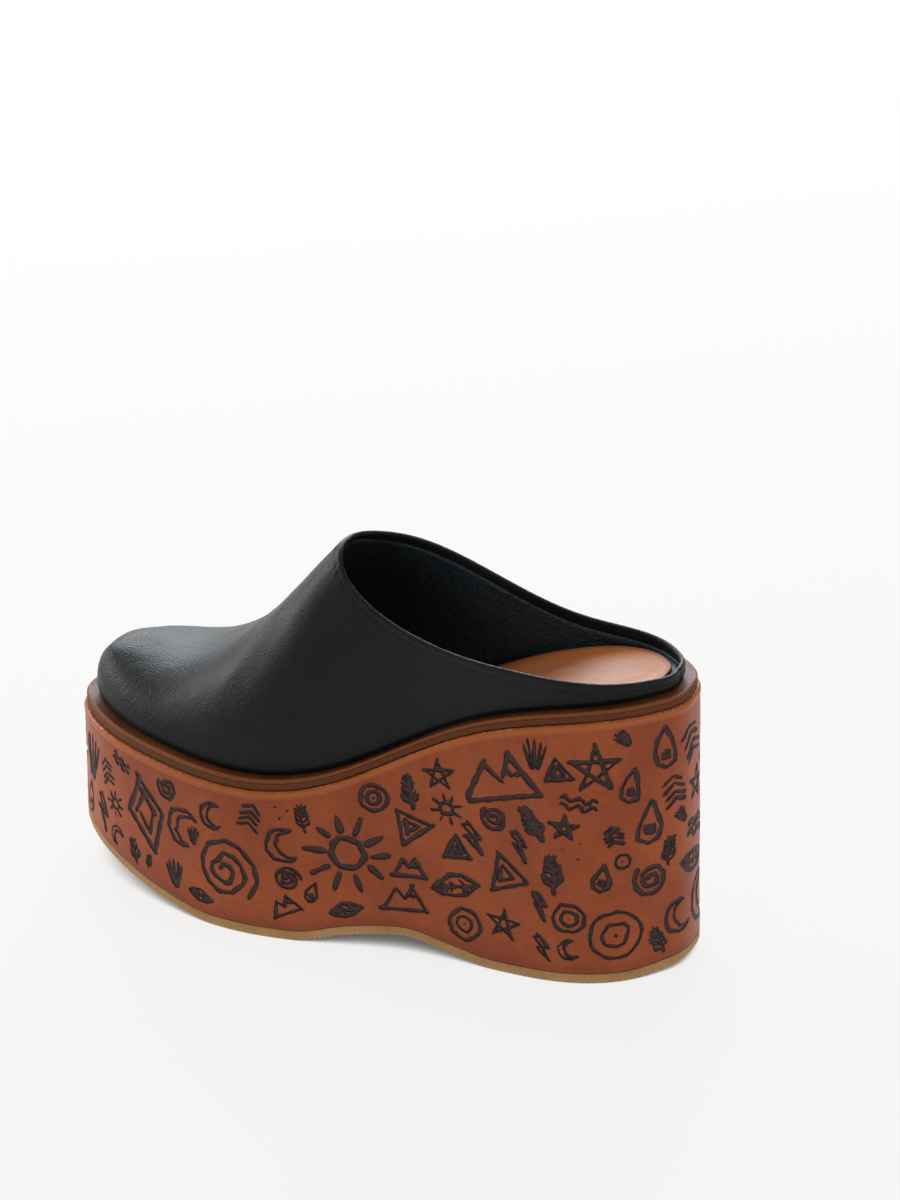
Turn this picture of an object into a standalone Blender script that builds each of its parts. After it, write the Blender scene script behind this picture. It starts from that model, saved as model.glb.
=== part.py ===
"""Wedge mule, left foot: a closed-toe slip-on on a high leather-covered wedge platform.

Metres, +Z up. The toe points to -Y, the lateral (outer) side is +X. The origin is the centre of
the bounding box at the height of the ground. Every station along the foot is given by t, which
runs from 0 at the back of the heel to 1 at the tip of the toe.
"""
import math

import bmesh
import bpy
import numpy as np

for old in list(bpy.data.objects):
    bpy.data.objects.remove(old, do_unlink=True)

# ---------------------------------------------------------------- sizes (metres)
LENGTH = 0.256            # platform, back of the heel to tip of the toe
GAP = 0.0003              # clearance between curved pieces that meet
OUTSOLE_THICK = 0.0040
WALL_FLARE = 0.0015       # the platform wall leans out by this much at its foot
COVER_ROUND = 0.0011      # folded upper edge of the leather cover
OUTSOLE_ROUND = 0.0007
MID_INSET = 0.0010        # the midsole stands back inside the folded cover edge
MID_THICK_HEEL = 0.0040
MID_THICK_TOE = 0.0050
MID_ROUND = 0.0008
SHELF = 0.0054            # cover edge to the feather line of the upper
UPPER_WALL = 0.0020       # leather and lining together
FOOTBED_INSET = 0.0081    # inside the wall of the upper, with clearance
FOOTBED_BASE = 0.0008
FOOTBED_LIP = 0.0010      # how far the footbed border rises above its middle
SOCK_INSET = 0.0102
SOCK_THICK = 0.0012
END_POWER = 0.75          # bluntness of the outline at heel and toe

STATIONS = 44             # along each side of the platform
AROUND = 96               # meridians of the upper
RISE = 13                 # rows of the upper from feather line to topline

# Half widths of the platform at the level of its upper edge.
#        t     lateral  medial
PLAN = (
    (0.02, 0.0162, 0.0162),
    (0.05, 0.0250, 0.0232),
    (0.10, 0.0338, 0.0284),
    (0.20, 0.0392, 0.0290),
    (0.30, 0.0388, 0.0272),
    (0.40, 0.0398, 0.0278),
    (0.50, 0.0450, 0.0316),
    (0.60, 0.0498, 0.0376),
    (0.70, 0.0496, 0.0432),
    (0.80, 0.0434, 0.0464),
    (0.90, 0.0326, 0.0414),
    (0.95, 0.0236, 0.0324),
    (0.98, 0.0156, 0.0218),
)

# Height of the upper edge of the platform above the ground.
#        t    height
TOP = (
    (0.00, 0.1095),
    (0.10, 0.1089),
    (0.20, 0.1046),
    (0.30, 0.0956),
    (0.40, 0.0820),
    (0.50, 0.0690),
    (0.60, 0.0626),
    (0.70, 0.0619),
    (0.80, 0.0628),
    (0.90, 0.0640),
    (1.00, 0.0655),
)

# Height of the tread above the ground: flat at heel and ball, arched between, sprung at the toe.
#        t    height
TREAD = (
    (0.00, 0.0020),
    (0.07, 0.0000),
    (0.25, 0.0000),
    (0.32, 0.0026),
    (0.40, 0.0066),
    (0.48, 0.0046),
    (0.57, 0.0000),
    (0.69, 0.0000),
    (0.80, 0.0037),
    (0.90, 0.0095),
    (1.00, 0.0153),
)

# Crown height of the last above the midsole, as if the opening were closed over.
#        t    crown
CROWN = (
    (0.00, 0.0543),
    (0.20, 0.0817),
    (0.35, 0.0944),
    (0.45, 0.0949),
    (0.55, 0.0817),
    (0.65, 0.0576),
    (0.75, 0.0364),
    (0.85, 0.0289),
    (0.93, 0.0376),
    (1.00, 0.0552),
)

# Where the topline cuts the meridians. around: 0 is the back of the heel, then the lateral
# side, the toe near 0.5 and back along the medial side. climb: degrees up the meridian.
#       around  climb
TOPLINE = (
    (0.000, 4.8),
    (0.071, 7.9),
    (0.143, 21.0),
    (0.214, 42.6),
    (0.286, 65.3),
    (0.357, 75.6),
    (0.429, 79.5),
    (0.500, 80.1),
    (0.571, 78.9),
    (0.643, 75.4),
    (0.714, 62.9),
    (0.786, 34.3),
    (0.857, 10.2),
    (0.929, 4.2),
)
DOME_CENTRE = (0.0074, 0.0069)       # plan point that the meridians run to

# Fullness of the last: how squarely it turns over in plan and in height, each on the
# lateral and on the medial side.
#      front  plan lateral, medial  rise lateral, medial
FULLNESS = (
    (0.0, 1.84, 1.84, 1.98, 1.98),
    (0.5, 1.89, 2.23, 1.30, 3.03),
    (1.0, 1.75, 1.75, 3.01, 3.01),
)


# ---------------------------------------------------------------- curves
def natural(rows, column, at):
    """Natural cubic through one column of a table."""
    xs = np.array([r[0] for r in rows])
    ys = np.array([r[column] for r in rows])
    n = len(xs)
    h = np.diff(xs)
    lhs = np.eye(n)
    rhs = np.zeros(n)
    for i in range(1, n - 1):
        lhs[i, i - 1], lhs[i, i], lhs[i, i + 1] = h[i - 1], 2 * (h[i - 1] + h[i]), h[i]
        rhs[i] = 6 * ((ys[i + 1] - ys[i]) / h[i] - (ys[i] - ys[i - 1]) / h[i - 1])
    m = np.linalg.solve(lhs, rhs)
    at = np.clip(np.asarray(at, float), xs[0], xs[-1])
    k = np.clip(np.searchsorted(xs, at) - 1, 0, n - 2)
    d = at - xs[k]
    hk = h[k]
    slope = (ys[k + 1] - ys[k]) / hk - hk * (2 * m[k] + m[k + 1]) / 6
    return ys[k] + d * slope + d * d * m[k] / 2 + d ** 3 * (m[k + 1] - m[k]) / (6 * hk)


def level(rows, column, at):
    """Monotone cubic, which keeps flat stretches exactly flat."""
    xs = np.array([r[0] for r in rows])
    ys = np.array([r[column] for r in rows])
    h = np.diff(xs)
    s = np.diff(ys) / h
    m = np.zeros(len(xs))
    for i in range(1, len(xs) - 1):
        if s[i - 1] * s[i] > 0:
            a, b = 2 * h[i] + h[i - 1], h[i] + 2 * h[i - 1]
            m[i] = (a + b) / (a / s[i - 1] + b / s[i])
    m[0], m[-1] = s[0], s[-1]
    at = np.clip(np.asarray(at, float), xs[0], xs[-1])
    k = np.clip(np.searchsorted(xs, at) - 1, 0, len(xs) - 2)
    u = (at - xs[k]) / h[k]
    return ((1 + 2 * u) * (1 - u) ** 2 * ys[k] + u * (1 - u) ** 2 * h[k] * m[k]
            + u * u * (3 - 2 * u) * ys[k + 1] + u * u * (u - 1) * h[k] * m[k + 1])


def around_topline(at):
    """Climb of the topline for a place around the foot, the same at 0 and 1."""
    rows = [(a + turn, c) for turn in (-1, 0, 1) for a, c in TOPLINE]
    return natural(rows, 1, at)


def top_height(t):
    return natural(TOP, 1, np.clip(t, 0, 1))


def tread_height(t):
    return level(TREAD, 1, np.clip(t, 0, 1))


def mid_height(t):
    t = np.clip(t, 0, 1)
    return top_height(t) + MID_THICK_HEEL + (MID_THICK_TOE - MID_THICK_HEEL) * t


def half_width(t, column):
    """Half width with a blunt rounded end at heel and toe."""
    t = np.clip(t, 0, 1)
    ratio = [(r[0], r[column] / (2 * math.sqrt(r[0] * (1 - r[0]))) ** END_POWER) for r in PLAN]
    return natural(ratio, 1, t) * (2 * np.sqrt(t * (1 - t))) ** END_POWER


def base_outline(n=400):
    """Plan of the platform: heel, lateral side, toe, medial side."""
    t = (1 - np.cos(np.linspace(0, math.pi, n))) / 2
    y = -(t - 0.5) * LENGTH
    lateral = np.stack([half_width(t, 1), y], 1)
    medial = np.stack([-half_width(t, 2), y], 1)
    return np.concatenate([lateral, medial[::-1][1:-1]])


def spread(loop, count):
    """Points at even steps along a closed loop."""
    closed = np.concatenate([loop, loop[:1]])
    run = np.r_[0, np.cumsum(np.linalg.norm(np.diff(closed, axis=0), axis=1))]
    want = np.linspace(0, run[-1], count + 1)[:-1]
    return np.stack([np.interp(want, run, closed[:, i]) for i in (0, 1)], 1)


def outward(loop, passes):
    """Unit normals of a closed plan loop, pointing out."""
    run = np.roll(loop, -1, 0) - np.roll(loop, 1, 0)
    normal = np.stack([-run[:, 1], run[:, 0]], 1)
    normal /= np.linalg.norm(normal, axis=1)[:, None]
    if normal[len(loop) // 4] @ loop[len(loop) // 4] < 0:
        normal = -normal
    for _ in range(passes):
        normal = np.roll(normal, 1, 0) + 2 * normal + np.roll(normal, -1, 0)
        normal /= np.linalg.norm(normal, axis=1)[:, None]
    return normal


FINE = spread(base_outline(), 720)
FINE_OUT = outward(FINE, 6)
SPAN = FINE + FINE_OUT * WALL_FLARE
CENTRE = (SPAN.max(0) + SPAN.min(0)) / 2      # plan centre of the widest outline


def station(y):
    return np.clip(0.5 - y / LENGTH, 0, 1)


def ring(inset, height):
    """Closed ring of a slab: matched stations on both sides, set in from the outline."""
    loop = FINE - FINE_OUT * inset
    heel, toe = int(np.argmax(loop[:, 1])), int(np.argmin(loop[:, 1]))
    loop = np.roll(loop, -heel, 0)
    toe = (toe - heel) % len(loop)
    lateral = loop[:toe + 1]
    medial = np.concatenate([loop[toe:], loop[:1]])[::-1]
    turn = (1 - np.cos(np.linspace(0, math.pi, STATIONS + 1))) / 2
    y = loop[0, 1] + (loop[toe, 1] - loop[0, 1]) * turn
    lx = np.interp(-y, -lateral[:, 1], lateral[:, 0])
    mx = np.interp(-y, -medial[:, 1], medial[:, 0])
    xs = np.concatenate([lx, mx[::-1][1:-1]])
    ys = np.concatenate([y, y[::-1][1:-1]])
    ts = station(ys)
    return np.stack([xs, ys, height(ts)], 1)


# ---------------------------------------------------------------- scene helpers
home = bpy.data.collections.new("Wedge_Mule")
bpy.context.scene.collection.children.link(home)


def material(name, colour, roughness):
    mat = bpy.data.materials.new(name)
    mat.use_nodes = True
    shader = mat.node_tree.nodes["Principled BSDF"]
    shader.inputs["Base Color"].default_value = (*colour, 1.0)
    shader.inputs["Roughness"].default_value = roughness
    shader.inputs["Metallic"].default_value = 0.0
    mat.diffuse_color = (*colour, 1.0)
    return mat


def add_object(name, bm, mat, sharp):
    bmesh.ops.recalc_face_normals(bm, faces=bm.faces)
    mesh = bpy.data.meshes.new(name)
    bm.to_mesh(mesh)
    bm.free()
    mesh.materials.append(mat)
    mesh.shade_smooth()
    mesh.set_sharp_from_angle(angle=math.radians(sharp))
    obj = bpy.data.objects.new(name, mesh)
    home.objects.link(obj)
    return obj


def place(bm, point):
    return bm.verts.new((point[0] - CENTRE[0], point[1] - CENTRE[1], point[2]))


def stitch(bm, low, high):
    count = len(low)
    for i in range(count):
        j = (i + 1) % count
        bm.faces.new((low[i], low[j], high[j], high[i]))


def close_across(bm, verts, rows=None):
    """Close a ring station by station, through inner points where rows are given."""
    n = STATIONS
    pair = [[verts[i], verts[-i]] for i in range(1, n)]
    if rows is not None:
        pair = [[a] + inner + [b] for (a, b), inner in zip(pair, rows)]
    for i in range(len(pair) - 1):
        a, b = pair[i], pair[i + 1]
        for k in range(len(a) - 1):
            bm.faces.new((a[k], a[k + 1], b[k + 1], b[k]))
    for tip, row in ((verts[0], pair[0]), (verts[n], pair[-1])):
        for k in range(len(row) - 1):
            bm.faces.new((tip, row[k], row[k + 1]))


def slab(name, rings, mat, sharp=35.0, crown=None):
    """Solid through a stack of rings, closed above and below.

    crown(t, across) gives the height of the upper face where it isn't straight across.
    """
    bm = bmesh.new()
    layers = [[place(bm, p) for p in r] for r in rings]
    for low, high in zip(layers, layers[1:]):
        stitch(bm, low, high)
    close_across(bm, layers[0])
    rows = None
    if crown is not None:
        rows = []
        last = rings[-1]
        for i in range(1, STATIONS):
            a, b = last[i], last[-i]
            inner = []
            for f in (0.12, 0.30, 0.50, 0.70, 0.88):
                p = a + (b - a) * f
                p[2] = crown(station(p[1]), abs(2 * f - 1))
                inner.append(place(bm, p))
            rows.append(inner)
    close_across(bm, layers[-1], rows)
    return add_object(name, bm, mat, sharp)


# ---------------------------------------------------------------- outsole
rubber = material("Gum_Rubber", (0.52, 0.30, 0.13), 0.62)
slab("Outsole", [
    ring(-WALL_FLARE + OUTSOLE_ROUND, tread_height),
    ring(-WALL_FLARE, lambda t: tread_height(t) + OUTSOLE_ROUND),
    ring(-WALL_FLARE, lambda t: tread_height(t) + OUTSOLE_THICK),
], rubber)

# ---------------------------------------------------------------- wedge platform
cover = material("Brown_Leather_Cover", (0.36, 0.115, 0.045), 0.42)
slab("Wedge_Platform", [
    ring(-WALL_FLARE, lambda t: tread_height(t) + OUTSOLE_THICK + GAP),
    ring(-0.5 * WALL_FLARE, lambda t: 0.5 * (tread_height(t) + OUTSOLE_THICK + GAP + top_height(t))),
    ring(0.0, lambda t: top_height(t) - COVER_ROUND),
    ring(0.3 * COVER_ROUND, lambda t: top_height(t) - 0.3 * COVER_ROUND),
    ring(COVER_ROUND, top_height),
], cover)

# ---------------------------------------------------------------- midsole
board = material("Leather_Board", (0.30, 0.125, 0.045), 0.6)
slab("Midsole", [
    ring(MID_INSET + COVER_ROUND * 0.3, lambda t: top_height(t) + GAP),
    ring(MID_INSET, lambda t: top_height(t) + GAP + 0.3 * MID_ROUND),
    ring(MID_INSET, lambda t: mid_height(t) - MID_ROUND),
    ring(MID_INSET + 0.3 * MID_ROUND, lambda t: mid_height(t) - 0.3 * MID_ROUND),
    ring(MID_INSET + MID_ROUND, mid_height),
], board)


# ---------------------------------------------------------------- upper
def fullness(column, front, lateral):
    """Parabolas through the lateral and medial columns of the table, mixed by the side."""
    def curve(which):
        heel, waist, toe = (row[which] for row in FULLNESS)
        return (heel * (1 - front) * (1 - 2 * front) + waist * 4 * front * (1 - front)
                + toe * front * (2 * front - 1))
    return curve(column) * lateral + curve(column + 1) * (1 - lateral)


def last_surface():
    """Outer face of the upper as rows of points, feather line first."""
    plan = spread(base_outline(), AROUND)
    feather = plan - outward(plan, 2) * SHELF
    centre = np.array(DOME_CENTRE)
    reach = feather - centre
    place_around = np.arange(AROUND) / AROUND
    climb = np.radians(around_topline(place_around))[None, :]
    step = np.linspace(0, 1, RISE + 1)[:, None]
    turn = climb * step
    front = station(feather[:, 1])[None, :]
    side = np.clip(0.5 + reach[:, 0] / np.linalg.norm(reach, axis=1), 0, 1)[None, :]
    lateral = side * side * (3 - 2 * side)
    plan_power = 2 / fullness(1, front, lateral)
    rise_power = 2 / fullness(3, front, lateral)
    out = np.cos(turn) ** plan_power
    up = np.sin(turn) ** rise_power
    xy = centre + out[:, :, None] * reach[None]
    t = station(xy[:, :, 1])
    z = mid_height(t) + GAP + natural(CROWN, 1, t) * up
    return np.concatenate([xy, z[:, :, None]], 2)


def face_normals(rows):
    along = np.roll(rows, -1, 1) - np.roll(rows, 1, 1)
    up = np.gradient(rows, axis=0)
    normal = np.cross(along, up)
    normal /= np.linalg.norm(normal, axis=2)[:, :, None]
    for _ in range(2):
        normal = np.roll(normal, 1, 1) + 2 * normal + np.roll(normal, -1, 1)
        normal /= np.linalg.norm(normal, axis=2)[:, :, None]
    return normal


outer = last_surface()
out_dir = face_normals(outer)
flank = AROUND // 4
if out_dir[2, flank, 0] < 0:
    out_dir = -out_dir
inner = outer - out_dir * UPPER_WALL
inner[0, :, 2] = mid_height(station(inner[0, :, 1])) + GAP

# the folded topline: a half round between the outer and the inner face
tangent = outer[-1] - outer[-2]
tangent /= np.linalg.norm(tangent, axis=1)[:, None]
half = UPPER_WALL / 2
middle = outer[-1] - out_dir[-1] * half
fold = [middle + half * (math.cos(a) * out_dir[-1] + math.sin(a) * tangent)
        for a in (math.radians(45), math.radians(90), math.radians(135))]

nappa = material("Black_Leather", (0.012, 0.013, 0.015), 0.38)
bm = bmesh.new()
layers = [[place(bm, p) for p in row] for row in outer]
layers += [[place(bm, p) for p in row] for row in fold]
layers += [[place(bm, p) for p in row] for row in inner[::-1]]
for low, high in zip(layers, layers[1:]):
    stitch(bm, low, high)
stitch(bm, layers[-1], layers[0])
add_object("Upper", bm, nappa, 50.0)


# ---------------------------------------------------------------- footbed and sock
def bed_height(t, across):
    """Upper face of the footbed: a shallow dish with a raised border."""
    return mid_height(t) + GAP + FOOTBED_BASE + FOOTBED_LIP * across ** 3


lining = material("Black_Lining", (0.014, 0.014, 0.016), 0.5)
slab("Footbed", [
    ring(FOOTBED_INSET, lambda t: mid_height(t) + GAP),
    ring(FOOTBED_INSET, lambda t: bed_height(t, 1.0) - 0.0004),
    ring(FOOTBED_INSET + 0.0004, lambda t: bed_height(t, 1.0)),
], lining, crown=bed_height)


def sock_height(t, across):
    return bed_height(t, across) + GAP + SOCK_THICK


tan_leather = material("Tan_Leather", (0.46, 0.17, 0.075), 0.45)
bm = bmesh.new()
add_rows = (0.12, 0.30, 0.50, 0.70, 0.88)
edge_low = ring(SOCK_INSET, lambda t: bed_height(t, 1.0) + GAP)
edge_mid = ring(SOCK_INSET, lambda t: bed_height(t, 1.0) + GAP + SOCK_THICK * 0.6)
edge_top = ring(SOCK_INSET + 0.0005, lambda t: bed_height(t, 1.0) + GAP + SOCK_THICK)
rings = [[place(bm, p) for p in r] for r in (edge_low, edge_mid, edge_top)]
stitch(bm, rings[0], rings[1])
stitch(bm, rings[1], rings[2])
for source, verts, lift in ((edge_low, rings[0], GAP), (edge_top, rings[2], GAP + SOCK_THICK)):
    rows = []
    for i in range(1, STATIONS):
        a, b = source[i], source[-i]
        inner_row = []
        for f in add_rows:
            p = a + (b - a) * f
            p[2] = bed_height(station(p[1]), abs(2 * f - 1)) + lift
            inner_row.append(place(bm, p))
        rows.append(inner_row)
    close_across(bm, verts, rows)
add_object("Sock", bm, tan_leather, 40.0)
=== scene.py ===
"""Looks of the wedge mule, left foot, around its fixed frame.

Metres, +Z up. The toe points to -Y and the lateral (outer) side is +X. Stations along the foot are
given by t, from 0 at the back of the heel to 1 at the tip of the toe. Sizes ending in MM are
millimetres.
"""

import math
import random

import bmesh
import bpy
import numpy as np
from mathutils import Matrix, Vector


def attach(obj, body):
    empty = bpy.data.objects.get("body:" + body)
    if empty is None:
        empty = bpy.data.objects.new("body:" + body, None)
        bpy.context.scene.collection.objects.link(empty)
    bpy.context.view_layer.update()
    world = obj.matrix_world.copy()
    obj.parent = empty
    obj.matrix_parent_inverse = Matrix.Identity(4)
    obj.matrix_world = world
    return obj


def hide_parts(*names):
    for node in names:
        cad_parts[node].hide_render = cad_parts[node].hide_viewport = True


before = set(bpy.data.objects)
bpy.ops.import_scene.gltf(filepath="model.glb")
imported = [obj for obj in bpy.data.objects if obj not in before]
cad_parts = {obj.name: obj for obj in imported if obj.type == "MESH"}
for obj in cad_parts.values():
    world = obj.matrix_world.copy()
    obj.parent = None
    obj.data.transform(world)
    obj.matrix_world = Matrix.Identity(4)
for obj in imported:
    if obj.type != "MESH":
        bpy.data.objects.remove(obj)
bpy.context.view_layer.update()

# ================================================================ sizes, as in the frame
LENGTH = 0.256
GAP = 0.0003
OUTSOLE_THICK = 0.0040
WALL_FLARE = 0.0015
COVER_ROUND = 0.0011
OUTSOLE_ROUND = 0.0007
MID_INSET = 0.0010
MID_THICK_HEEL = 0.0040
MID_THICK_TOE = 0.0050
SHELF = 0.0054
UPPER_WALL = 0.0020
FOOTBED_INSET = 0.0081
FOOTBED_BASE = 0.0008
FOOTBED_LIP = 0.0010
SOCK_INSET = 0.0102
SOCK_THICK = 0.0012
END_POWER = 0.75
AROUND = 96

PLAN = (
    (0.02, 0.0162, 0.0162), (0.05, 0.0250, 0.0232), (0.10, 0.0338, 0.0284),
    (0.20, 0.0392, 0.0290), (0.30, 0.0388, 0.0272), (0.40, 0.0398, 0.0278),
    (0.50, 0.0450, 0.0316), (0.60, 0.0498, 0.0376), (0.70, 0.0496, 0.0432),
    (0.80, 0.0434, 0.0464), (0.90, 0.0326, 0.0414), (0.95, 0.0236, 0.0324),
    (0.98, 0.0156, 0.0218),
)
TOP = (
    (0.00, 0.1095), (0.10, 0.1089), (0.20, 0.1046), (0.30, 0.0956), (0.40, 0.0820),
    (0.50, 0.0690), (0.60, 0.0626), (0.70, 0.0619), (0.80, 0.0628), (0.90, 0.0640),
    (1.00, 0.0655),
)
TREAD = (
    (0.00, 0.0020), (0.07, 0.0000), (0.25, 0.0000), (0.32, 0.0026), (0.40, 0.0066),
    (0.48, 0.0046), (0.57, 0.0000), (0.69, 0.0000), (0.80, 0.0037), (0.90, 0.0095),
    (1.00, 0.0153),
)
CROWN = (
    (0.00, 0.0543), (0.20, 0.0817), (0.35, 0.0944), (0.45, 0.0949), (0.55, 0.0817),
    (0.65, 0.0576), (0.75, 0.0364), (0.85, 0.0289), (0.93, 0.0376), (1.00, 0.0552),
)
TOPLINE = (
    (0.000, 4.8), (0.071, 7.9), (0.143, 21.0), (0.214, 42.6), (0.286, 65.3),
    (0.357, 75.6), (0.429, 79.5), (0.500, 80.1), (0.571, 78.9), (0.643, 75.4),
    (0.714, 62.9), (0.786, 34.3), (0.857, 10.2), (0.929, 4.2),
)
DOME_CENTRE = (0.0074, 0.0069)
# front; plan on the lateral, medial side; rise on the lateral, medial side
FULLNESS = (
    (0.0, 1.84, 1.84, 1.98, 1.98),
    (0.5, 1.89, 2.23, 1.30, 3.03),
    (1.0, 1.75, 1.75, 3.01, 3.01),
)


# ================================================================ curves, as in the frame
def natural(rows, column, at):
    """Natural cubic through one column of a table."""
    xs = np.array([r[0] for r in rows])
    ys = np.array([r[column] for r in rows])
    n = len(xs)
    h = np.diff(xs)
    lhs = np.eye(n)
    rhs = np.zeros(n)
    for i in range(1, n - 1):
        lhs[i, i - 1], lhs[i, i], lhs[i, i + 1] = h[i - 1], 2 * (h[i - 1] + h[i]), h[i]
        rhs[i] = 6 * ((ys[i + 1] - ys[i]) / h[i] - (ys[i] - ys[i - 1]) / h[i - 1])
    m = np.linalg.solve(lhs, rhs)
    at = np.clip(np.asarray(at, float), xs[0], xs[-1])
    k = np.clip(np.searchsorted(xs, at) - 1, 0, n - 2)
    d = at - xs[k]
    hk = h[k]
    slope = (ys[k + 1] - ys[k]) / hk - hk * (2 * m[k] + m[k + 1]) / 6
    return ys[k] + d * slope + d * d * m[k] / 2 + d ** 3 * (m[k + 1] - m[k]) / (6 * hk)


def level(rows, column, at):
    """Monotone cubic, which keeps flat stretches exactly flat."""
    xs = np.array([r[0] for r in rows])
    ys = np.array([r[column] for r in rows])
    h = np.diff(xs)
    s = np.diff(ys) / h
    m = np.zeros(len(xs))
    for i in range(1, len(xs) - 1):
        if s[i - 1] * s[i] > 0:
            a, b = 2 * h[i] + h[i - 1], h[i] + 2 * h[i - 1]
            m[i] = (a + b) / (a / s[i - 1] + b / s[i])
    m[0], m[-1] = s[0], s[-1]
    at = np.clip(np.asarray(at, float), xs[0], xs[-1])
    k = np.clip(np.searchsorted(xs, at) - 1, 0, len(xs) - 2)
    u = (at - xs[k]) / h[k]
    return ((1 + 2 * u) * (1 - u) ** 2 * ys[k] + u * (1 - u) ** 2 * h[k] * m[k]
            + u * u * (3 - 2 * u) * ys[k + 1] + u * u * (u - 1) * h[k] * m[k + 1])


def around_topline(at):
    rows = [(a + turn, c) for turn in (-1, 0, 1) for a, c in TOPLINE]
    return natural(rows, 1, at)


def top_height(t):
    return natural(TOP, 1, np.clip(t, 0, 1))


def tread_height(t):
    return level(TREAD, 1, np.clip(t, 0, 1))


def mid_height(t):
    t = np.clip(t, 0, 1)
    return top_height(t) + MID_THICK_HEEL + (MID_THICK_TOE - MID_THICK_HEEL) * t


def half_width(t, column):
    t = np.clip(t, 0, 1)
    ratio = [(r[0], r[column] / (2 * math.sqrt(r[0] * (1 - r[0]))) ** END_POWER) for r in PLAN]
    return natural(ratio, 1, t) * (2 * np.sqrt(t * (1 - t))) ** END_POWER


def base_outline(n=400):
    t = (1 - np.cos(np.linspace(0, math.pi, n))) / 2
    y = -(t - 0.5) * LENGTH
    lateral = np.stack([half_width(t, 1), y], 1)
    medial = np.stack([-half_width(t, 2), y], 1)
    return np.concatenate([lateral, medial[::-1][1:-1]])


def spread(loop, count):
    """Points at even steps along a closed loop."""
    closed = np.concatenate([loop, loop[:1]])
    run = np.r_[0, np.cumsum(np.linalg.norm(np.diff(closed, axis=0), axis=1))]
    want = np.linspace(0, run[-1], count + 1)[:-1]
    return np.stack([np.interp(want, run, closed[:, i]) for i in (0, 1)], 1)


def outward(loop, passes):
    """Unit normals of a closed plan loop, pointing out."""
    run = np.roll(loop, -1, 0) - np.roll(loop, 1, 0)
    normal = np.stack([-run[:, 1], run[:, 0]], 1)
    normal /= np.linalg.norm(normal, axis=1)[:, None]
    if normal[len(loop) // 4] @ loop[len(loop) // 4] < 0:
        normal = -normal
    for _ in range(passes):
        normal = np.roll(normal, 1, 0) + 2 * normal + np.roll(normal, -1, 0)
        normal /= np.linalg.norm(normal, axis=1)[:, None]
    return normal


FINE_COUNT = 2880
FINE = spread(base_outline(1600), FINE_COUNT)
FINE_OUT = outward(FINE, 96)
SPAN = FINE + FINE_OUT * WALL_FLARE
CENTRE = (SPAN.max(0) + SPAN.min(0)) / 2
PERIMETER = float(np.linalg.norm(np.roll(FINE, -1, 0) - FINE, axis=1).sum())
TOE_RUN = float(np.argmin(FINE[:, 1])) / FINE_COUNT      # share of the outline from heel to toe


def station(y):
    return np.clip(0.5 - y / LENGTH, 0, 1)


def outline_at(share):
    """Plan point and outward normal at shares of the way round, from the heel by the lateral side."""
    at = np.asarray(share) % 1.0 * FINE_COUNT
    i = np.floor(at).astype(int) % FINE_COUNT
    f = (at - np.floor(at))[:, None]
    j = (i + 1) % FINE_COUNT
    point = FINE[i] * (1 - f) + FINE[j] * f
    normal = FINE_OUT[i] * (1 - f) + FINE_OUT[j] * f
    return point, normal / np.linalg.norm(normal, axis=1)[:, None]


def ring(inset, stations):
    """Plan ring with matched stations on both sides, and the share of the outline at each point."""
    loop = FINE - FINE_OUT * inset
    heel, toe = int(np.argmax(loop[:, 1])), int(np.argmin(loop[:, 1]))
    loop = np.roll(loop, -heel, 0)
    toe = (toe - heel) % len(loop)
    lateral = loop[:toe + 1]
    medial = np.concatenate([loop[toe:], loop[:1]])[::-1]
    turn = (1 - np.cos(np.linspace(0, math.pi, stations + 1))) / 2
    y = loop[0, 1] + (loop[toe, 1] - loop[0, 1]) * turn
    share = np.arange(len(loop) + 1) / len(loop)
    lx = np.interp(-y, -lateral[:, 1], lateral[:, 0])
    ls = np.interp(-y, -lateral[:, 1], share[:toe + 1])
    mx = np.interp(-y, -medial[:, 1], medial[:, 0])
    ms = np.interp(-y, -medial[:, 1], share[toe:][::-1])
    xs = np.concatenate([lx, mx[::-1][1:-1]])
    ys = np.concatenate([y, y[::-1][1:-1]])
    return np.stack([xs, ys], 1), np.concatenate([ls, ms[::-1][1:-1]])


# ================================================================ small helpers
def smooth(low, high, x):
    """0 below low, 1 above high, eased between."""
    u = np.clip((np.asarray(x, float) - low) / (high - low), 0, 1)
    return u * u * (3 - 2 * u)


def hump(x, width):
    return np.exp(-(np.asarray(x, float) / width) ** 2)


def ripple(points, size, seed, waves=14):
    """Smooth seeded noise of about unit height, with features of about the given size."""
    rng = np.random.default_rng(seed)
    points = np.asarray(points, float)
    out = np.zeros(points.shape[:-1])
    for _ in range(waves):
        direction = rng.normal(size=points.shape[-1])
        direction /= np.linalg.norm(direction)
        rate = 2 * math.pi / (size * rng.uniform(0.7, 1.6))
        out += np.cos(points @ direction * rate + rng.uniform(0, 2 * math.pi))
    return out / math.sqrt(waves / 2)


def place(points):
    """Plan coordinates to the frame's."""
    moved = np.array(points, float)
    moved[..., 0] -= CENTRE[0]
    moved[..., 1] -= CENTRE[1]
    return moved


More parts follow.
